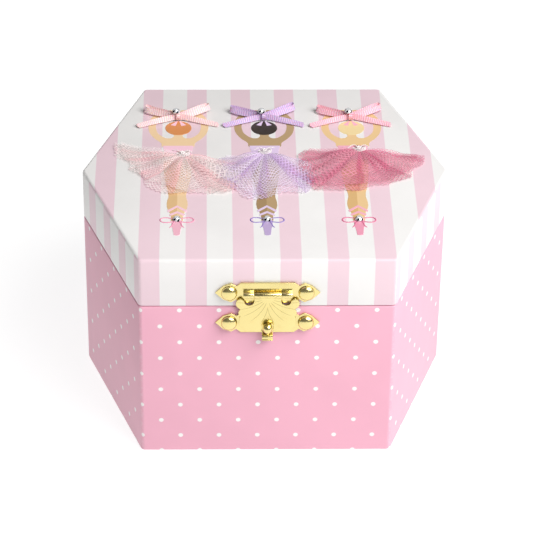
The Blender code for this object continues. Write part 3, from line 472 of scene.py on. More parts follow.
def curve_through(points, kinds, closed, steps):
    """A curve through points (x, y, z), each with its kind of handle."""
    only()
    bpy.ops.curve.primitive_bezier_curve_add(location=(0, 0, 0))
    line = bpy.context.object
    line.data.splines.clear()
    spline = line.data.splines.new("BEZIER")
    spline.bezier_points.add(len(points) - 1)
    for spot, point, kind in zip(spline.bezier_points, points, kinds):
        spot.handle_left_type = spot.handle_right_type = kind
        spot.co = point
    spline.use_cyclic_u = closed
    spline.resolution_u = steps
    return line


def to_mesh(line):
    """Turns a curve into a mesh."""
    only(line)
    bpy.ops.object.convert(target="MESH")
    return bpy.context.object


def drawn(points, closed=True, smooth=True, thick=0.0, steps=5):
    """A line through points (x, y), a third value making a sharp corner; filled when it has thickness."""
    kinds = ["AUTO" if smooth and len(point) == 2 else "VECTOR" for point in points]
    line = curve_through([(point[0], point[1], 0) for point in points], kinds, closed, steps if smooth else 1)
    line.data.dimensions = "2D"
    line.data.fill_mode = "BOTH" if thick else "NONE"
    line.data.extrude = thick / 2
    piece = to_mesh(line)
    return outward(piece) if thick else piece


def turned(profile, steps=32, smooth=False):
    """Spins a profile of (radius, height) round the upright axis."""
    line = move(drawn(profile, closed=False, smooth=smooth, steps=4), turn=(90, 0, 0))
    modify(line, "SCREW", steps=steps, render_steps=steps, use_merge_vertices=True, merge_threshold=0.001)
    return outward(line)


def wire(points, radius, closed=False, sides=2, taper=None):
    """A round thread, cord or limb along points (x, y, z)."""
    line = curve_through(points, ["AUTO"] * len(points), closed, 6)
    for spot, share in zip(line.data.splines[0].bezier_points, taper or [1.0] * len(points)):
        spot.radius = share
    shape = line.data
    shape.dimensions = "3D"
    shape.bevel_depth = radius
    shape.bevel_resolution = sides
    shape.use_fill_caps = True
    return outward(to_mesh(line), 0.0001)


def paint(piece, *materials):
    """Leaves a piece with just these materials."""
    piece.data.materials.clear()
    for material in materials:
        piece.data.materials.append(material)
    return piece


def cloth(across, along, size, place):
    """A grid of cloth laid by place(u, v), u and v from 0 to 1; its own map is in millimetres of flat cloth."""
    only()
    bpy.ops.mesh.primitive_grid_add(x_subdivisions=across, y_subdivisions=along, size=1,
                                    location=(0.5, 0.5, 0))
    piece = settle(bpy.context.object)
    for vertex in piece.data.vertices:
        vertex.co = place(vertex.co.x, vertex.co.y)
    layer = piece.data.uv_layers[0]
    layer.name = "in_mm"
    for loop in layer.data:
        loop.uv = (loop.uv[0] * size[0], loop.uv[1] * size[1])
    return piece


def finish(piece, name, slot, body, replaces=(), material=None, angle=30.0):
    """Names a piece, brings it to metres, and gives it a body and its finish, unless that is its own."""
    move(piece, scale=(MM, MM, MM))
    piece.name = name
    piece.data.name = name
    if material != "own":
        paint(piece, material or MATERIALS[slot])
    if angle:
        bpy.ops.object.shade_smooth_by_angle(angle=math.radians(angle))
    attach(piece, body)
    if replaces:
        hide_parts(*replaces)
    return piece


def copied(node, width, segments, angle=35.0):
    """A copy of a CAD node in millimetres, merged, with its sharp edges eased."""
    source = frame["nodes"][node]
    piece = bpy.data.objects.new("copy", source.data.copy())
    bpy.context.scene.collection.objects.link(piece)
    piece.data.transform(source.matrix_world)
    move(piece, scale=(1 / MM, 1 / MM, 1 / MM))
    outward(piece, 0.001)
    edit(piece, "FACE", lambda place, normal: True)
    bpy.ops.mesh.tris_convert_to_quads()
    bpy.ops.mesh.dissolve_limited(angle_limit=math.radians(1))
    bpy.ops.object.mode_set(mode="OBJECT")
    return modify(piece, "BEVEL", width=width, segments=segments, limit_method="ANGLE",
                  angle_limit=math.radians(angle))


def bore(piece, place, radius):
    """Bores a hole from front to back through the wall at a place."""
    only()
    bpy.ops.mesh.primitive_cylinder_add(vertices=32, radius=radius, depth=3 * WALL, location=place,
                                        rotation=(math.radians(90), 0, 0))
    drill = settle(bpy.context.object)
    modify(piece, "BOOLEAN", operation="DIFFERENCE", solver="EXACT", object=drill)
    bpy.data.objects.remove(drill)


# ---------------------------------------------------------------- the hexagonal box

CORNERS = [(-CORNER_X, -HALF_DEPTH), (CORNER_X, -HALF_DEPTH), (POINT_X, 0.0), (CORNER_X, HALF_DEPTH),
           (-CORNER_X, HALF_DEPTH), (-POINT_X, 0.0)]
PANELS = [(Vector(a), Vector(b)) for a, b in zip(CORNERS, CORNERS[1:] + CORNERS[:1])]
SIDE = math.hypot(POINT_X - CORNER_X, HALF_DEPTH)      # length of a slanted panel


def wrap(piece, starts):
    """Maps paper round the box in millimetres: top faces by place, panels along their length."""
    mesh = piece.data
    for name in ("in_mm", "to_corner"):
        if name not in mesh.uv_layers:
            mesh.uv_layers.new(name=name)
    in_mm, to_corner = (mesh.uv_layers[name].data for name in ("in_mm", "to_corner"))
    for face in mesh.polygons:
        upright = abs(face.normal.z) < 0.75
        if upright:
            def fit(panel):
                start, end = PANELS[panel]
                along = (end - start).normalized()
                outside = Vector((along.y, -along.x))
                return abs(outside.dot(face.normal.xy)) - abs((face.center.xy - start).dot(outside)) * 0.05
            panel = max((fit(index), index) for index in range(6))[1]
            start, end = PANELS[panel]
            along, length = (end - start).normalized(), (end - start).length
        for loop in face.loop_indices:
            place = mesh.vertices[mesh.loops[loop].vertex_index].co
            if upright:
                far = (place.xy - start).dot(along)
                in_mm[loop].uv = (starts[panel] + far, place.z)
                to_corner[loop].uv = (far, length - far)
            else:
                in_mm[loop].uv = (place.x, place.y)
                to_corner[loop].uv = (9.0, 9.0)


def hexagonal_tube(low, high, capped):
    """A hexagonal board tube with rounded upright corners, covered over the top when capped."""
    only()
    bpy.ops.mesh.primitive_circle_add(vertices=6, radius=1, fill_type="NGON", location=(0, 0, 0))
    piece = bpy.context.object
    for vertex, corner in zip(piece.data.vertices, CORNERS):
        vertex.co = (corner[0], corner[1], low)
    edit(piece, "VERT", lambda place, normal: True)
    bpy.ops.mesh.bevel(offset=1.35, segments=4, affect="VERTICES")
    bpy.ops.mesh.select_all(action="SELECT")
    bpy.ops.mesh.extrude_region_move(TRANSFORM_OT_translate={"value": (0, 0, high - low)})
    bpy.ops.mesh.select_all(action="SELECT")
    bpy.ops.mesh.normals_make_consistent(inside=False)
    edit(piece, "FACE", lambda place, normal: abs(normal.z) > 0.9 and (not capped or place.z < low + 0.01))
    bpy.ops.mesh.delete(type="FACE")
    bpy.ops.object.mode_set(mode="OBJECT")
    modify(piece, "SOLIDIFY", thickness=WALL, offset=-1.0, use_even_offset=True)
    return outward(piece)


def slim_edge(piece, height, width, segments):
    """Rounds the edges that lie all round at one height on the outside."""
    def chosen(place, run):
        slant = (POINT_X - CORNER_X) / HALF_DEPTH
        reach = max(abs(place.y) / HALF_DEPTH, (abs(place.x) + abs(place.y) * slant) / POINT_X)
        return abs(place.z - height) < 0.01 and abs(run.z) < 0.01 and reach > 0.985
    edit(piece, "EDGE", chosen)
    bpy.ops.mesh.bevel(offset=width, segments=segments, affect="EDGES", profile=0.5)
    bpy.ops.object.mode_set(mode="OBJECT")


# ---------------------------------------------------------------- sizes and colours a user may change

class JewelleryPaperSettings(bpy.types.PropertyGroup):
    """The printed papers."""
    rim_round: FloatProperty(name="Rim rounding", description="Rounding of the case's paper-covered rim",
                             default=0.0006, min=0.0002, max=0.001, unit="LENGTH", subtype="DISTANCE")
    lid_round: FloatProperty(name="Lid rounding", description="Rounding of the lid's upper edge",
                             default=0.0013, min=0.0005, max=0.002, unit="LENGTH", subtype="DISTANCE")


class JewelleryTrimSettings(bpy.types.PropertyGroup):
    """Ribbon, net and thread."""
    ribbon_width: FloatProperty(name="Ribbon width", description="Width of the grosgrain ribbon",
                                default=0.0023, min=0.002, max=0.004, unit="LENGTH", subtype="DISTANCE")
    pleats: IntProperty(name="Pleats", description="Pleats in each layer of a tutu", default=7, min=5, max=14)


class JewelleryStageSettings(bpy.types.PropertyGroup):
    """Floor, lights and camera."""
    floor_colour: FloatVectorProperty(name="Floor", description="Colour of the studio floor", size=4,
                                      subtype="COLOR", min=0.0, max=1.0, default=linear("8E8E8E"))
    light: FloatProperty(name="Light", description="Strength of the studio lights", default=1.0, min=0.1,
                         max=4.0, subtype="FACTOR")


# ---------------------------------------------------------------- one operator for each piece or group

class CoverCase(bpy.types.Operator):
    """Wraps the case in dotted paper"""
    bl_idname = "jewellery.cover_case"
    bl_label = "Cover Case"

    def execute(self, context):
        settings = context.scene.jewellery_paper
        piece = hexagonal_tube(0.0, RIM, False)
        slim_edge(piece, RIM, settings.rim_round / MM, 3)
        slim_edge(piece, 0.0, settings.rim_round / MM, 3)
        bore(piece, (0.0, HALF_DEPTH - WALL / 2, KEY_Z), KEY_BORE)
        wrap(piece, [-CORNER_X, CORNER_X, CORNER_X + SIDE, CORNER_X + 2 * SIDE, -CORNER_X - 2 * SIDE,
                     -CORNER_X - SIDE])
        finish(piece, "case_paper", "dotted_paper", "case", ["base_wall"])
        return {"FINISHED"}


class CoverLid(bpy.types.Operator):
    """Wraps the lid in striped paper"""
    bl_idname = "jewellery.cover_lid"
    bl_label = "Cover Lid"

    def execute(self, context):
        settings = context.scene.jewellery_paper
        piece = hexagonal_tube(LID_LOW, LID_TOP, True)
        slim_edge(piece, LID_TOP, settings.lid_round / MM, 4)
        slim_edge(piece, LID_LOW, settings.rim_round / MM, 3)
        first = -9.9            # the stripes' start on the first slanted panel
        wrap(piece, [-CORNER_X, first, first + SIDE, -CORNER_X, first + SIDE, -first - SIDE])
        finish(piece, "lid_paper", "striped_paper", "lid", ["lid_wall", "lid_top"])
        return {"FINISHED"}


# outlines of half a dancer, (x, y) from the middle line; a third value makes a sharp corner
BODY = [(1.85, 28.5), (1.9, 25.6), (3.6, 24.2), (7.4, 26.6), (9.2, 31.5), (9.0, 36.0), (7.2, 40.4),
        (4.6, 43.0), (1.3, 43.9), (0.5, 44.8), (0.6, 46.0), (3.4, 46.6), (7.6, 45.2), (10.8, 41.4),
        (12.3, 35.0), (11.9, 29.0), (9.6, 24.0), (7.0, 20.6), (6.3, 17.6)]
LEG = [(0.0, 12.0), (5.2, 12.0), (5.6, 4.0), (5.2, -6.0), (4.3, -13.0), (3.5, -19.5), (4.1, -24.0),
       (4.0, -27.5), (2.9, -31.5), (2.3, -35.0), (2.1, -37.4), (0.0, -37.4)]
SHOE = [(0.0, -36.6), (1.8, -36.9), (2.0, -39.5), (1.5, -43.6), (1.15, -47.2, 1), (0.0, -47.5)]


COLLAR = [(0.2, 38.2, 1), (3.2, 34.6, 1), (1.2, 33.9, 1)]
GARTERS = ([(0.0, -26.2, 1), (3.9, -29.8, 1), (3.6, -31.2, 1), (0.0, -27.6, 1)],
           [(0.0, -30.4, 1), (3.1, -32.6, 1), (2.9, -33.8, 1), (0.0, -31.8, 1)])
LACES = (([(0.6, -36.7), (3.0, -35.2), (6.2, -35.6), (6.2, -37.6), (3.0, -38.2)], 0.12, None),
         ([(0.4, -37.0), (1.5, -39.0), (2.1, -41.0), (2.9, -42.0)], 0.1, [1.0, 1.1, 1.0, 0.6]))


def both_sides(half):
    """A half outline and its mirror image; a point on the middle line is used once."""
    return list(half) + [(-p[0],) + tuple(p[1:]) for p in reversed(half) if p[0] > 0.01]


def print_shape(points, x, layer, material):
    """One flat shape of ink on the lid, each layer 0.03 mm above the one below."""
    thick = 0.3
    piece = drawn([(p[0] + x,) + tuple(p[1:]) for p in points], thick=thick)
    move(piece, (0, 0, LID_TOP + 0.03 * (layer + 1) - thick / 2))
    return paint(piece, material)


# skin, shaded skin, hair, bodice, slipper, laces
FIGURE_INKS = {
    "left": ("F0CFA4", "E0BA88", "D98E54", "F8CBDB", "F3B7C8", "EC98B4"),
    "middle": ("B99C74", "A78A64", "3A322B", "E3CDEA", "C0AAD2", "9A86C4"),
    "right": ("EDC994", "DDB57C", "F0D9A2", "F6B4C6", "F0A0B8", "E07A9C"),
}


class PrintDancers(bpy.types.Operator):
    """Prints the three dancers on the lid's paper"""
    bl_idname = "jewellery.print_dancers"
    bl_label = "Print Dancers"

    def execute(self, context):
        for side in SIDES:
            x = FIGURE_X[side]
            codes = FIGURE_INKS[side]
            names = ("skin", "shaded_skin", "hair", "bodice", "shoe", "lace")
            inks = {name: ink("%s_%s_ink" % (side, name), code) for name, code in zip(names, codes)}
            shapes = [
                print_shape(both_sides(BODY), x, 0, inks["skin"]),
                print_shape(both_sides(LEG[1:-1]), x, 0, inks["skin"]),
                print_shape([(0.0, 12.0, 1)] + [(-p, q) for p, q in LEG[1:-1]] + [(0.0, -37.4, 1)], x, 1,
                            inks["shaded_skin"]),
                print_shape([(6.3, 18.4, 1), (5.4, 12.0), (5.6, 8.0, 1), (-5.6, 8.0, 1), (-5.4, 12.0),
                             (-6.3, 18.4, 1)], x, 2, inks["bodice"]),
                print_shape([(5.4 * math.cos(a), 32.2 + 5.4 * math.sin(a))
                             for a in [math.pi * k / 6 for k in range(12)]], x, 2, inks["hair"]),
                print_shape(both_sides(SHOE), x, 3, inks["shoe"]),
            ]
            for flip in (-1, 1):
                for outline in (COLLAR, *GARTERS):
                    shapes.append(print_shape([(flip * p[0],) + p[1:] for p in outline], x, 3, inks["bodice"]))
                for path, sunk, taper in LACES:
                    line = wire([(x + flip * p, q, LID_TOP - sunk) for p, q in path], 0.34, closed=not taper,
                                taper=taper)
                    shapes.append(paint(line, inks["lace"]))
            finish(join(shapes), "printed_dancer_" + side, "striped_paper", "lid", material="own", angle=0)
        return {"FINISHED"}


def ribbon_strip(path, width, lean, cut=0.0):
    """A ribbon along path (x, y, z); lean is its width's tilt from upright, in degrees; cut slants its end."""
    spots = [Vector(p) for p in path]
    last = len(spots) - 1

    def at(values, v):
        """A smooth curve through the values."""
        t = min(max(v, 0.0), 1.0) * last
        i = min(int(t), last - 1)
        f = t - i
        p0, p1, p2, p3 = (values[max(i - 1, 0)], values[i], values[i + 1], values[min(i + 2, last)])
        return (p1 * 2 + (p2 - p0) * f + (p0 * 2 - p1 * 5 + p2 * 4 - p3) * f * f
                + (p1 * 3 - p0 - p2 * 3 + p3) * f * f * f) * 0.5

    length = sum((a - b).length for a, b in zip(spots, spots[1:]))

    def place(u, v):
        v = v + cut * (u - 0.5) * max(0.0, (v - 0.8) / 0.2)
        centre = at(spots, v)
        run = (at(spots, min(v + 0.02, 1.0)) - at(spots, max(v - 0.02, 0.0))).normalized()
        angle = math.radians(at(lean, v))
        side = run.cross(Vector((0, 0, 1))).normalized()
        upright = Vector((0, 0, 1)) * math.cos(angle) + side * math.sin(angle)
        return centre + upright * (u - 0.5) * width

    return modify(cloth(4, 44, (width, length), place), "SOLIDIFY", thickness=0.22, offset=0.0)


class TieBows(bpy.types.Operator):
    """Ties a ribbon bow above each dancer's head"""
    bl_idname = "jewellery.tie_bows"
    bl_label = "Tie Bows"

    def execute(self, context):
        width = context.scene.jewellery_trim.ribbon_width / MM
        for index, side in enumerate(SIDES):
            x = FIGURE_X[side]
            floor = LID_TOP + 0.15
            twist = (1.0, -0.6, 0.4)[index]
            loops = (
                ([(0.4, 0.2, 1.9), (-4.4, 2.7, 1.8), (-9.6, 5.4, 1.7), (-13.2, 7.0 + twist * 0.4, 1.8),
                  (-13.7, 5.3, 1.9), (-10.4, 3.5, 1.7), (-5.0, 1.5, 1.7), (0.6, -0.4, 1.9)],
                 [0, 20, 30, 14, -20, -36, -26, 0], 0.0),
                ([(-0.4, 0.2, 1.9), (3.8, 2.9, 1.9), (8.6, 6.5, 1.9), (12.0, 8.6 - twist * 0.4, 2.0),
                  (12.7, 6.9, 2.0), (9.5, 4.6, 1.8), (4.6, 1.7, 1.7), (-0.6, -0.4, 1.9)],
                 [0, -20, -34, -14, 26, 44, 30, 0], 0.0),
            )
            tails = (
                ([(0.3, 0.2, 1.7), (-4.0, -1.2, 1.5), (-9.0, -2.8, 1.2), (-13.2, -4.4, 0.9),
                  (-17.0, -5.8 - twist * 0.3, 0.7)], [10, 30, 48, 62, 70], 0.12),
                ([(-0.3, 0.2, 1.7), (4.0, -0.9, 1.5), (9.0, -2.6, 1.2), (13.0, -3.9, 0.9),
                  (16.6, -5.2 + twist * 0.3, 0.7)], [-10, -30, -50, -62, -70], -0.12),
            )
            parts = [ribbon_strip([(x + a, BOW_Y + b, floor + c) for a, b, c in path], width, lean, slant)
                     for path, lean, slant in loops + tails]
            knot = [(x, BOW_Y + b, floor + c) for b, c in
                    ((-1.3, 0.9), (-1.7, 2.2), (-0.6, 3.6), (0.8, 3.5), (1.6, 2.0), (1.2, 0.7), (0.0, 0.3),
                     (-1.3, 0.9))]
            band = cloth(4, 28, (width, 10.0), lambda u, v: ring_place(knot, u, v, width * 0.85))
            parts.append(modify(band, "SOLIDIFY", thickness=0.25, offset=0.0))
            finish(join(parts), "bow_ribbon_" + side, ("pale_ribbon", "lilac_ribbon", "rose_ribbon")[index],
                   "lid", ["bow_" + side], angle=60)
        return {"FINISHED"}


def ring_place(points, u, v, width):
    """A band whose width lies left to right, along a closed path of points."""
    last = len(points) - 1
    t = v * last
    i = min(int(t), last - 1)
    f = t - i
    f = f * f * (3 - 2 * f) * 0.5 + f * 0.5
    spot = Vector(points[i]).lerp(Vector(points[i + 1]), f)
    return spot + Vector(((u - 0.5) * width * (1 - 0.18 * math.sin(v * math.pi * 2)), 0, 0))


HEMS = {
    # direction from the waist in degrees, and reach in millimetres
    "left": [(156, 30), (172, 27), (190, 22), (214, 21), (240, 24), (268, 26), (291, 26), (307, 32), (322, 32),
             (340, 27), (354, 21)],
    "middle": [(182, 17), (200, 21), (225, 26), (245, 29), (270, 32), (285, 27), (305, 30), (320, 28),
               (335, 22), (350, 16)],
    "right": [(172, 22), (188, 25), (206, 29), (226, 32), (245, 30), (260, 29), (283, 23), (302, 26), (325, 25),
              (343, 26), (356, 26)],
}
KNOTS = {"left": (-33.2, 7.5), "middle": (0.1, 9.5), "right": (38.6, 11.4)}


def tutu_place(knot, hem, layer, pleats, seed, u, v):
    """Where a point of gathered net lies: u runs round the hem, v from the ruffle above the knot to the hem."""
    rng = random.Random(seed)
    phases = [rng.uniform(0, 6.28) for _ in range(4)]
    depths = [rng.uniform(0.4, 1.4) for _ in range(pleats + 2)]
    spot = u * pleats
    depth = depths[int(spot)] + (depths[int(spot) + 1] - depths[int(spot)]) * (spot - int(spot))
    start, end = hem[0][0], hem[-1][0]
    swing = (end - start) / pleats
    wave = 2 * math.pi * pleats * u + phases[0] + 1.4 * math.sin(2 * math.pi * 1.6 * u + phases[1])
    ruffle = 0.09
    far = max(0.0, (v - ruffle) / (1 - ruffle))
    ease = min(1.0, 6 * u, 6 * (1 - u))
    fold = swing * (0.26 * (1 - far * far) + 0.09) * ease * depth
    angle = min(max(start + (end - start) * u + fold * math.sin(wave), start), end)
    reach = hem[-1][1]
    for (a0, r0), (a1, r1) in zip(hem, hem[1:]):
        if a0 <= angle <= a1:
            part = (angle - a0) / (a1 - a0)
            reach = r0 + (r1 - r0) * part * part * (3 - 2 * part)
            break
    if v < ruffle:
        up = (ruffle - v) / ruffle
        turn = math.radians(90 - (angle - 255) * 0.5)
        radius = 2.3 * up * (0.8 + 0.2 * math.sin(wave * 2))
        return Vector((knot[0] + math.cos(turn) * (radius + 0.5) * 1.5,
                       knot[1] + math.sin(turn) * radius + 0.5, LID_TOP + 1.8 + 1.2 * up))
    radians = math.radians(angle)
    reach *= 1 + 0.05 * far * math.sin(wave * 0.7 + phases[2]) * ease
    radius = 0.6 + reach * far
    crest = 0.5 + 0.5 * math.sin(wave + 1.57)
    swell = math.sin(min(far * 1.5, 1.0) * math.pi)
    pleat = (1.5 * swell + 0.9 * far * (1 - far) + 0.5 * far) * crest * depth
    high = 1.6 * (1 - far) ** 2 + 0.35 + layer * 0.6 + pleat
    across, along = math.cos(radians) * radius, math.sin(radians) * radius
    drift = clouding.noise(Vector((across * 0.16, along * 0.16, seed)))
    high += 0.9 * far * max(0.0, drift + 0.2)
    return Vector((knot[0] + across, knot[1] + along, LID_TOP + high))


class GatherTutus(bpy.types.Operator):
    """Gathers two layers of tulle at each dancer's waist"""
    bl_idname = "jewellery.gather_tutus"
    bl_label = "Gather Tutus"

    def execute(self, context):
        pleats = context.scene.jewellery_trim.pleats
        slots = ("pale_tulle", "lilac_tulle", "rose_tulle")
        for index, side in enumerate(SIDES):
            for layer in range(2):
                trim = 1.0 if layer == 0 else 0.9
                hem = [(a, r * trim) for a, r in HEMS[side]]
                seed = 10 * index + layer

                def place(u, v, hem=hem, layer=layer, seed=seed, side=side):
                    return tutu_place(KNOTS[side], hem, layer, pleats - layer, seed, u, v)
                piece = cloth(260, 36, (72.0, 30.0), place)
                name = "tutu_net_" + side if layer == 0 else "tutu_under_net_" + side
                finish(piece, name, slots[index], "lid", ["tutu_" + side] if layer == 0 else (), angle=180)
        return {"FINISHED"}


class KnotThreads(bpy.types.Operator):
    """Binds each tutu with cotton thread"""
    bl_idname = "jewellery.knot_threads"
    bl_label = "Knot Threads"

    def execute(self, context):
        for index, side in enumerate(SIDES):
            x, y = KNOTS[side]
            rng = random.Random(40 + index)
            strands = []
            for turn in range(3):
                lift = 0.35 * turn
                strands.append(wire([(x + 2.6 * math.cos(a), y + 1.1 * math.sin(a) + lift - 0.4,
                                      LID_TOP + 2.6 + 0.39 * math.cos(a + 0.4) + lift)
                                     for a in [math.pi * k / 4 for k in range(8)]], 0.17, closed=True))
            for flip in (-1, 1):
                far = rng.uniform(3.6, 5.4)
                strands.append(wire([(x, y, LID_TOP + 3.4), (x + flip * far * 0.5, y + 0.9, LID_TOP + 4.2),
                                     (x + flip * far, y + rng.uniform(-0.4, 2.4), LID_TOP + 3.4)], 0.15))
            strands.append(wire([(x - 0.5, y - 0.5, LID_TOP + 3.4), (x + 0.5, y - 0.2, LID_TOP + 3.9),
                                 (x + 0.4, y + 0.5, LID_TOP + 3.4), (x - 0.5, y + 0.3, LID_TOP + 3.9)], 0.28,
                                closed=True))
            finish(join(strands), "tie_thread_" + side, "thread", "lid", ["tie_" + side], angle=60)
        return {"FINISHED"}


class SetStones(bpy.types.Operator):
    """Glues a faceted stone to each bow and each shoe"""
    bl_idname = "jewellery.set_stones"
    bl_label = "Set Stones"

    def execute(self, context):
        for index, side in enumerate(SIDES):
            x = FIGURE_X[side]
            for kind, place in (("bow", (x - 1.0, BOW_Y + 0.4, LID_TOP + 3.7)),
                                ("shoe", (x, SHOE_Y, LID_TOP + 0.1))):
                only()
                bpy.ops.mesh.primitive_circle_add(vertices=10, radius=1.5, fill_type="NGON", location=(0, 0, 0))
                piece = bpy.context.object
                edit(piece, "FACE", lambda spot, normal: True)
                for rise, grow, turn in ((0.3, 1.14, 0), (0.2, 1.0, 0), (0.6, 0.8, 18), (0.4, 0.68, 18)):
                    bpy.ops.mesh.extrude_region_move(TRANSFORM_OT_translate={"value": (0, 0, rise)})
                    bpy.ops.transform.resize(value=(grow, grow, 1))
                    if turn:
                        bpy.ops.transform.rotate(value=math.radians(turn), orient_axis="Z",
                                                 center_override=(0, 0, 0))
                bpy.ops.mesh.select_all(action="SELECT")
                bpy.ops.mesh.quads_convert_to_tris()
                bpy.ops.mesh.normals_make_consistent(inside=False)
                bpy.ops.object.mode_set(mode="OBJECT")
                paint(piece, MATERIALS["rhinestone"], MATERIALS["dark_facet_reflection"])
                # every second facet is coloured dark: a painted reflection of dark surroundings in the cut
                # stone
                for face in piece.data.polygons:
                    turn = math.degrees(math.atan2(face.normal.y, face.normal.x)) % 72
                    face.material_index = int(abs(face.normal.z) < 0.97 and turn < 26)
                move(piece, place, (0, 0, 11 * index))
                finish(piece, kind + "_stone_" + side, "rhinestone", "lid", [kind + "_gem_" + side],
                       material="own", angle=0)
        return {"FINISHED"}


class MountHasp(bpy.types.Operator):
    """Fits the stamped hasp, its tacks and its ball catch"""
    bl_idname = "jewellery.mount_hasp"
    bl_label = "Mount Hasp"

    def execute(self, context):
        for name, body in (("hasp_plate", "lid"), ("hasp_pin", "lid"), ("hasp_flap", "flap"),
                           ("keeper_plate", "case"), ("catch_pin", "case")):
            finish(copied(name, 0.1, 2), name + "_brass", "stamped_brass", body, [name],
                   MATERIALS["engraved_brass"] if name == "hasp_flap" else None)
        lever = copied("catch_lever", 0.1, 2)
        front = min(vertex.co.y for vertex in lever.data.vertices)
        radius, drop = 2.02, 1.45
        ball = turned([(radius * math.sin(math.pi * k / 16), -radius * math.cos(math.pi * k / 16))
                       for k in range(17)], 32)
        move(ball, (0, front + 2.0, SEAM - HASP_UP - drop))
        # the sheet rolled over the lug's front, as wide as the lug and open towards the wall
        outer, inner, width = 1.4, 1.23, 4.2
        sweep = [math.radians(90 - 17 * k) for k in range(11)]
        outline = [(-outer * math.cos(t), outer * math.sin(t)) for t in sweep]
        outline += [(-inner * math.cos(t), inner * math.sin(t)) for t in reversed(sweep)]
        roll = drawn(outline, smooth=False, thick=width)
        move(roll, (0, CATCH_Y, CATCH_Z), (90, 0, 90))
        parts = [lever, ball, roll]
        for lift in (-0.75, 0.75):
            only()
            bpy.ops.mesh.primitive_cube_add(size=1, location=(0, CATCH_Y - 1.38, CATCH_Z + lift))
            lip = move(bpy.context.object, bpy.context.object.location, scale=(width, 0.3, 0.34))
            parts.append(modify(lip, "BEVEL", width=0.1, segments=2))
        finish(join([paint(part) for part in parts]), "catch_lever_brass", "stamped_brass", "catch",
               ["catch_lever"], angle=50)
        seat = HALF_DEPTH + 0.3 + 0.6 + 0.3         # out past the paper, the plate and the tack's rim
        dome = [(0.0, 0.0), (3.0, 0.0), (3.15, 0.0), (3.12, 0.35), (2.85, 0.9), (2.2, 1.4), (1.2, 1.72),
                (0.0, 1.82)]
        for level, up, body in (("upper", 1, "lid"), ("lower", -1, "case")):
            for side, flip in (("left", -1), ("right", 1)):
                piece = turned(dome, 40)
                move(piece, (flip * TACK_X, -seat, SEAM + up * HASP_UP), (90, 0, 0))
                node = "tack_" + level + "_" + side
                finish(piece, node + "_brass", "stamped_brass", body, [node], angle=60)
        return {"FINISHED"}


class StuffCushion(bpy.types.Operator):
    """Stuffs the five velvet rolls that hold rings"""
    bl_idname = "jewellery.stuff_cushion"
    bl_label = "Stuff Cushion"

    def execute(self, context):
        half, front, back, low, high = CUSHION
        radius = (back - front) / ROLLS / 2
        crown = high - radius
        outline = [Vector((front, low + (crown - low) * k / 6)) for k in range(6)]
        for roll in range(ROLLS):
            middle = front + radius * (2 * roll + 1)
            outline += [Vector((middle - radius * math.cos(a), crown + radius * math.sin(a)))
                        for a in [math.radians(6 + 168 * k / 14) for k in range(15)]]
        outline += [Vector((back, crown + (low - crown) * k / 6)) for k in range(1, 7)]
        last = len(outline) - 1

        def place(u, v):
            turn = math.pi * (u - 0.5)
            across = math.copysign(abs(math.sin(turn)) ** 0.34, turn)
            swell = abs(math.cos(turn)) ** 0.3
            index = min(int(v * last), last - 1)
            spot = outline[index].lerp(outline[index + 1], v * last - index)
            high_up = (spot.y - low) / (high - low)
            pinch = clouding.noise(Vector((across * 5.0, spot.x * 0.5, 3.0))) * 0.35 * high_up * swell
            return Vector((across * half, spot.x, low + (spot.y - low) * swell - abs(pinch)))

        piece = cloth(90, last * 2, (56.0, 110.0), place)
        edit(piece, "VERT", lambda spot, normal: True)
        bpy.ops.mesh.remove_doubles(threshold=0.01)
        bpy.ops.mesh.select_all(action="DESELECT")
        bpy.ops.mesh.select_non_manifold()
        bpy.ops.mesh.edge_face_add()
        bpy.ops.mesh.select_all(action="SELECT")
        bpy.ops.mesh.normals_make_consistent(inside=False)
        bpy.ops.object.mode_set(mode="OBJECT")
        finish(piece, "ring_roll_cushion", "velvet", "case", ["ring_cushion"], angle=60)
        return {"FINISHED"}


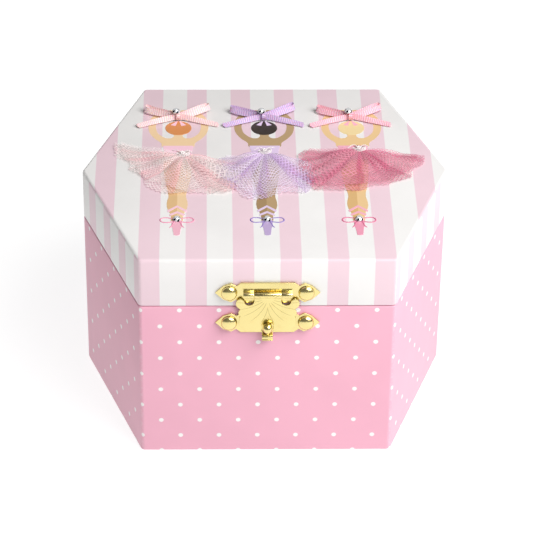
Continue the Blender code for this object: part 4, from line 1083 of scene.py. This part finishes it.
class MouldDancer(bpy.types.Operator):
    """Moulds and paints the little dancer on her spring"""
    bl_idname = "jewellery.mould_dancer"
    bl_label = "Mould Dancer"

    def execute(self, context):
        # each limb as (x, share of her height), each turned part as (radius, share of her height)
        limbs = []
        for flip in (-1, 1):
            leg = [(flip * 1.0, 0.50), (flip * 1.05, 0.44), (flip * 0.85, 0.36), (flip * 0.72, 0.29),
                   (flip * 0.72, 0.22), (flip * 0.5, 0.13), (flip * 0.38, 0.075), (flip * 0.3, 0.03)]
            limbs.append(wire([(x, 0.12 * flip * (1 - 2 * h), at_height(h)) for x, h in leg], 1.0, sides=4,
                              taper=[1.2, 1.25, 0.95, 0.72, 0.86, 0.6, 0.42, 0.36]))
            arm = [(flip * 1.5, 0.715), (flip * 3.2, 0.735), (flip * 5.0, 0.79), (flip * 5.5, 0.86),
                   (flip * 4.4, 0.925), (flip * 2.4, 0.968), (flip * 0.8, 0.982)]
            limbs.append(wire([(x, -0.25 * math.sin(h * 9), at_height(h)) for x, h in arm], 1.0, sides=4,
                              taper=[0.72, 0.66, 0.56, 0.5, 0.44, 0.36, 0.28]))
        trunk = [(0.0, 0.45), (1.5, 0.455), (2.15, 0.49), (2.2, 0.515), (1.8, 0.56), (1.62, 0.60), (1.85, 0.64),
                 (2.1, 0.675), (1.95, 0.705), (1.3, 0.728), (0.72, 0.742), (0.68, 0.775), (0.0, 0.79)]
        head = [(0.0, 0.772), (0.75, 0.776), (1.35, 0.793), (1.78, 0.82), (1.95, 0.848), (1.75, 0.88),
                (1.1, 0.899), (0.0, 0.904)]
        stand = [(0.0, 0.0), (1.7, 0.0), (1.78, 0.004), (1.78, 0.016), (1.6, 0.022), (0.5, 0.034), (0.0, 0.04)]
        for profile, smooth, thin in ((trunk, True, 0.74), (head, True, 1.08), (stand, False, 1.0)):
            limb = turned([(r, at_height(h)) for r, h in profile], 32, smooth)
            limbs.append(move(limb, scale=(1.0, thin, 1.0)))
        figure = modify(join(limbs), "REMESH", mode="VOXEL", voxel_size=0.16)
        modify(figure, "SMOOTH", factor=0.5, iterations=4)
        paint(figure, MATERIALS["painted_figure"])

        hair = turned([(0.0, 0.913), (1.2, 0.909), (1.9, 0.889), (2.1, 0.858), (2.05, 0.83), (1.7, 0.812),
                       (1.2, 0.81), (0.0, 0.82)], 32, True)
        move(hair, (0, 0.32, 0), scale=(1.0, 1.05, DANCER_TALL))
        edit(hair, "VERT", lambda spot, normal: spot.y < -0.9)
        bpy.ops.transform.resize(value=(1.0, 1.0, 0.55), center_override=(0, 0, 0.91 * DANCER_TALL))
        bpy.ops.object.mode_set(mode="OBJECT")
        bun = turned([(0.0, 0.9), (0.75, 0.75), (1.05, 0.3), (0.95, -0.3), (0.5, -0.6), (0.0, -0.65)], 24, True)
        move(bun, (0, 1.1, 0.925 * DANCER_TALL), (-35, 0, 0))
        hair = join([hair, bun])
        move(hair, (0, 0, FOOT))
        paint(hair, MATERIALS["painted_hair"])

        details = []
        face, half_head = -2.05, 1.95
        for x, h, wide, tall, finish_name in ((-0.72, 0.845, 0.26, 0.3, "painted_eye"),
                                              (0.72, 0.845, 0.26, 0.3, "painted_eye"),
                                              (0.0, 0.805, 0.42, 0.14, "painted_lip")):
            spot = turned([(0.0, 0.0), (0.7, 0.0), (1.0, 0.06), (0.75, 0.2), (0.0, 0.3)], 16, True)
            depth = face * math.sqrt(max(0.0, 1 - (x / half_head) ** 2)) + (0.26 if h < 0.82 else 0.08)
            move(spot, (x, depth, at_height(h)), (90, 0, 30 * x), (wide, tall, 0.5))
            details.append(paint(spot, MATERIALS[finish_name]))
        nose = turned([(0.0, 0.0), (0.3, 0.0), (0.24, 0.24), (0.0, 0.34)], 16, True)
        move(nose, (0.0, -2.0, at_height(0.826)), (80, 0, 0), (0.8, 1.2, 1.0))
        paint(nose, MATERIALS["painted_figure"])
        figure = join([figure, hair, nose] + details)
        move(figure, (0, DANCER_Y, 0))
        finish(figure, "moulded_dancer", "moulded_plastic", "dancer", ["dancer"], material="own", angle=60)

        def place(u, v):
            angle = 2 * math.pi * u
            radius = 1.75 + 8.4 * v
            wave = math.sin(13 * angle + 1.5 * math.sin(3 * angle))
            rise = at_height(0.555) + 0.2 - 1.6 * v ** 1.6 + wave * (0.25 + 0.75 * v)
            return Vector((math.cos(angle) * radius, DANCER_Y + math.sin(angle) * radius, rise))

        net = cloth(208, 14, (90.0, 9.0), place)
        finish(net, "dancer_net_skirt", "net", "dancer", ["dancer_skirt"], angle=180)
        return {"FINISHED"}


class LineInside(bpy.types.Operator):
    """Fits the flocked linings, the dividers and the lid's mirror"""
    bl_idname = "jewellery.line_inside"
    bl_label = "Line Inside"

    def execute(self, context):
        for node, slot, body, width in (
                ("base_lining", "flock", "case", 0.28), ("floor", "flock", "case", 0.2),
                ("divider_cross", "flock", "case", 0.42), ("divider_left", "flock", "case", 0.42),
                ("divider_right", "flock", "case", 0.42), ("lid_lining", "flock", "lid", 0.28),
                ("mirror", "mirror_glass", "lid", 0.5), ("turntable", "velvet", "turning_stage", 0.2),
                ("base_bottom", "greyboard", "case", 0.3)):
            glass = slot == "mirror_glass"
            finish(copied(node, width, 1 if glass else 3), node + "_lined", slot, body, [node],
                   angle=0 if glass else 40)
        return {"FINISHED"}


class HangHinges(bpy.types.Operator):
    """Hangs the two back hinges and drives their nails"""
    bl_idname = "jewellery.hang_hinges"
    bl_label = "Hang Hinges"

    def execute(self, context):
        for side, x in (("left", -HINGE_X), ("right", HINGE_X)):
            for part, up, body in (("lid", 1, "lid"), ("base", -1, "case")):
                node = "hinge_%s_%s_leaf" % (side, part)
                leaf = copied(node, 0.1, 2, 50)
                # the leaf's flat back, away from the knuckles
                face = max(v.co.y for v in leaf.data.vertices if abs(v.co.z - SEAM) > 4)
                parts = [leaf]
                for step in (-5.4, 0.0, 5.4):
                    nail = turned([(0.0, 0.0), (0.95, 0.0), (0.92, 0.12), (0.6, 0.36), (0.0, 0.46)], 20)
                    parts.append(move(nail, (x + step, face - 0.02, SEAM + up * 6.2), (-90, 0, 0)))
                finish(join([paint(part) for part in parts]), node + "_brass", "stamped_brass", body, [node],
                       angle=40)
            pin = "hinge_%s_pin" % side
            finish(copied(pin, 0.12, 2), pin + "_steel", "steel", "case", [pin])
        return {"FINISHED"}


class FitWinding(bpy.types.Operator):
    """Fits the winding key and its escutcheon"""
    bl_idname = "jewellery.fit_winding"
    bl_label = "Fit Winding"

    def execute(self, context):
        for node, body, width in (("winding_key", "key", 0.22), ("key_escutcheon", "case", 0.16)):
            finish(copied(node, width, 3), node + "_brass", "stamped_brass", body, [node], angle=40)
        return {"FINISHED"}


class FinishFittings(bpy.types.Operator):
    """Gives the carried-over parts their finishes"""
    bl_idname = "jewellery.finish_fittings"
    bl_label = "Finish Fittings"

    def execute(self, context):
        slots = {part["node"]: part["material_slot"] for part in frame["record"]["subparts"]}
        for name, node in frame["nodes"].items():
            slot = slots[name]
            material = MATERIALS.get(slot)
            for index in range(len(node.data.materials)):
                node.data.materials[index] = material
            if not len(node.data.materials):
                node.data.materials.append(material)
        return {"FINISHED"}


class SetStage(bpy.types.Operator):
    """Sets the floor, the light and the camera"""
    bl_idname = "jewellery.set_stage"
    bl_label = "Set Stage"

    def execute(self, context):
        settings = context.scene.jewellery_stage
        only()
        bpy.ops.mesh.primitive_plane_add(size=8.0, location=(0, 0, 0))
        table = bpy.context.object
        table.name = "studio_table"
        material, tree, shader = new_material("lit_acrylic_table", Roughness=0.6, Emission_Strength=0.86,
                                              Emission_Color=(1, 1, 1, 1))
        tone = noise(tree, object_source(tree), 3.0)
        high = tuple(settings.floor_colour)
        low = tuple(c * 0.99 for c in high[:3]) + (1.0,)
        tree.links.new(mix_colour(tree, tone, high, low), shader.inputs["Base Color"])
        table.data.materials.append(material)

        world = bpy.data.worlds.new("soft_studio")
        context.scene.world = world
        world.use_nodes = True
        sky = world.node_tree.nodes["Background"].inputs
        sky["Color"].default_value = (1, 1, 1, 1)
        sky["Strength"].default_value = 0.17 * settings.light

        place = (0.86, -0.69, 1.34)
        bpy.ops.object.light_add(type="AREA", location=place)
        light = bpy.context.object
        light.name = "key"
        light.data.size = 1.25
        light.data.energy = 37.5 * settings.light
        aim = Vector((0, 0, 0.05)) - Vector(place)
        light.rotation_euler = aim.to_track_quat("-Z", "Y").to_euler()

        # the camera, turned round a point inside the box
        lift, yaw, roll = math.radians(34.636), math.radians(-1.502), math.radians(0.719)
        back = Vector((math.sin(yaw) * math.cos(lift), -math.cos(yaw) * math.cos(lift), math.sin(lift)))
        across = Vector((math.cos(yaw), math.sin(yaw), 0))
        up = back.cross(across)
        right = across * math.cos(roll) + up * math.sin(roll)
        upper = up * math.cos(roll) - across * math.sin(roll)
        target, distance = Vector((0.001084, 0.0, 0.044047)), 1.08351
        bpy.ops.object.camera_add()
        camera = bpy.context.object
        camera.name = "camera"
        turn = Matrix((right, upper, back)).transposed().to_4x4()
        camera.matrix_world = Matrix.Translation(target + back * distance) @ turn
        camera.data.lens = 174.35
        camera.data.clip_start = 0.01
        context.scene.camera = camera
        context.scene.view_settings.view_transform = "Standard"
        return {"FINISHED"}


class JewelleryPanel(bpy.types.Panel):
    """Lists the pieces of the jewellery box"""
    bl_idname = "VIEW3D_PT_jewellery"
    bl_label = "Jewellery Box"
    bl_space_type = "VIEW_3D"
    bl_region_type = "UI"
    bl_category = "Jewellery Box"

    def draw(self, context):
        for settings in (context.scene.jewellery_paper, context.scene.jewellery_trim,
                         context.scene.jewellery_stage):
            for name in settings.bl_rna.properties.keys():
                if name not in ("rna_type", "name"):
                    self.layout.prop(settings, name)
        for operator in OPERATORS:
            self.layout.operator(operator.bl_idname)


SETTINGS = {"jewellery_paper": JewelleryPaperSettings, "jewellery_trim": JewelleryTrimSettings,
            "jewellery_stage": JewelleryStageSettings}
OPERATORS = (FinishFittings, CoverCase, CoverLid, PrintDancers, TieBows, GatherTutus, KnotThreads, SetStones,
             MountHasp, HangHinges, FitWinding, LineInside, StuffCushion, MouldDancer, SetStage)


def register():
    for kind in (*SETTINGS.values(), *OPERATORS, JewelleryPanel):
        bpy.utils.register_class(kind)
    for name, kind in SETTINGS.items():
        setattr(bpy.types.Scene, name, PointerProperty(type=kind))


def unregister():
    for name in SETTINGS:
        delattr(bpy.types.Scene, name)
    for kind in reversed((*SETTINGS.values(), *OPERATORS, JewelleryPanel)):
        bpy.utils.unregister_class(kind)


def main():
    """Builds every piece in order."""
    register()
    only()
    make_materials()
    for operator in OPERATORS:
        group, name = operator.bl_idname.split(".")
        getattr(getattr(bpy.ops, group), name)()


if __name__ == "__main__":
    main()
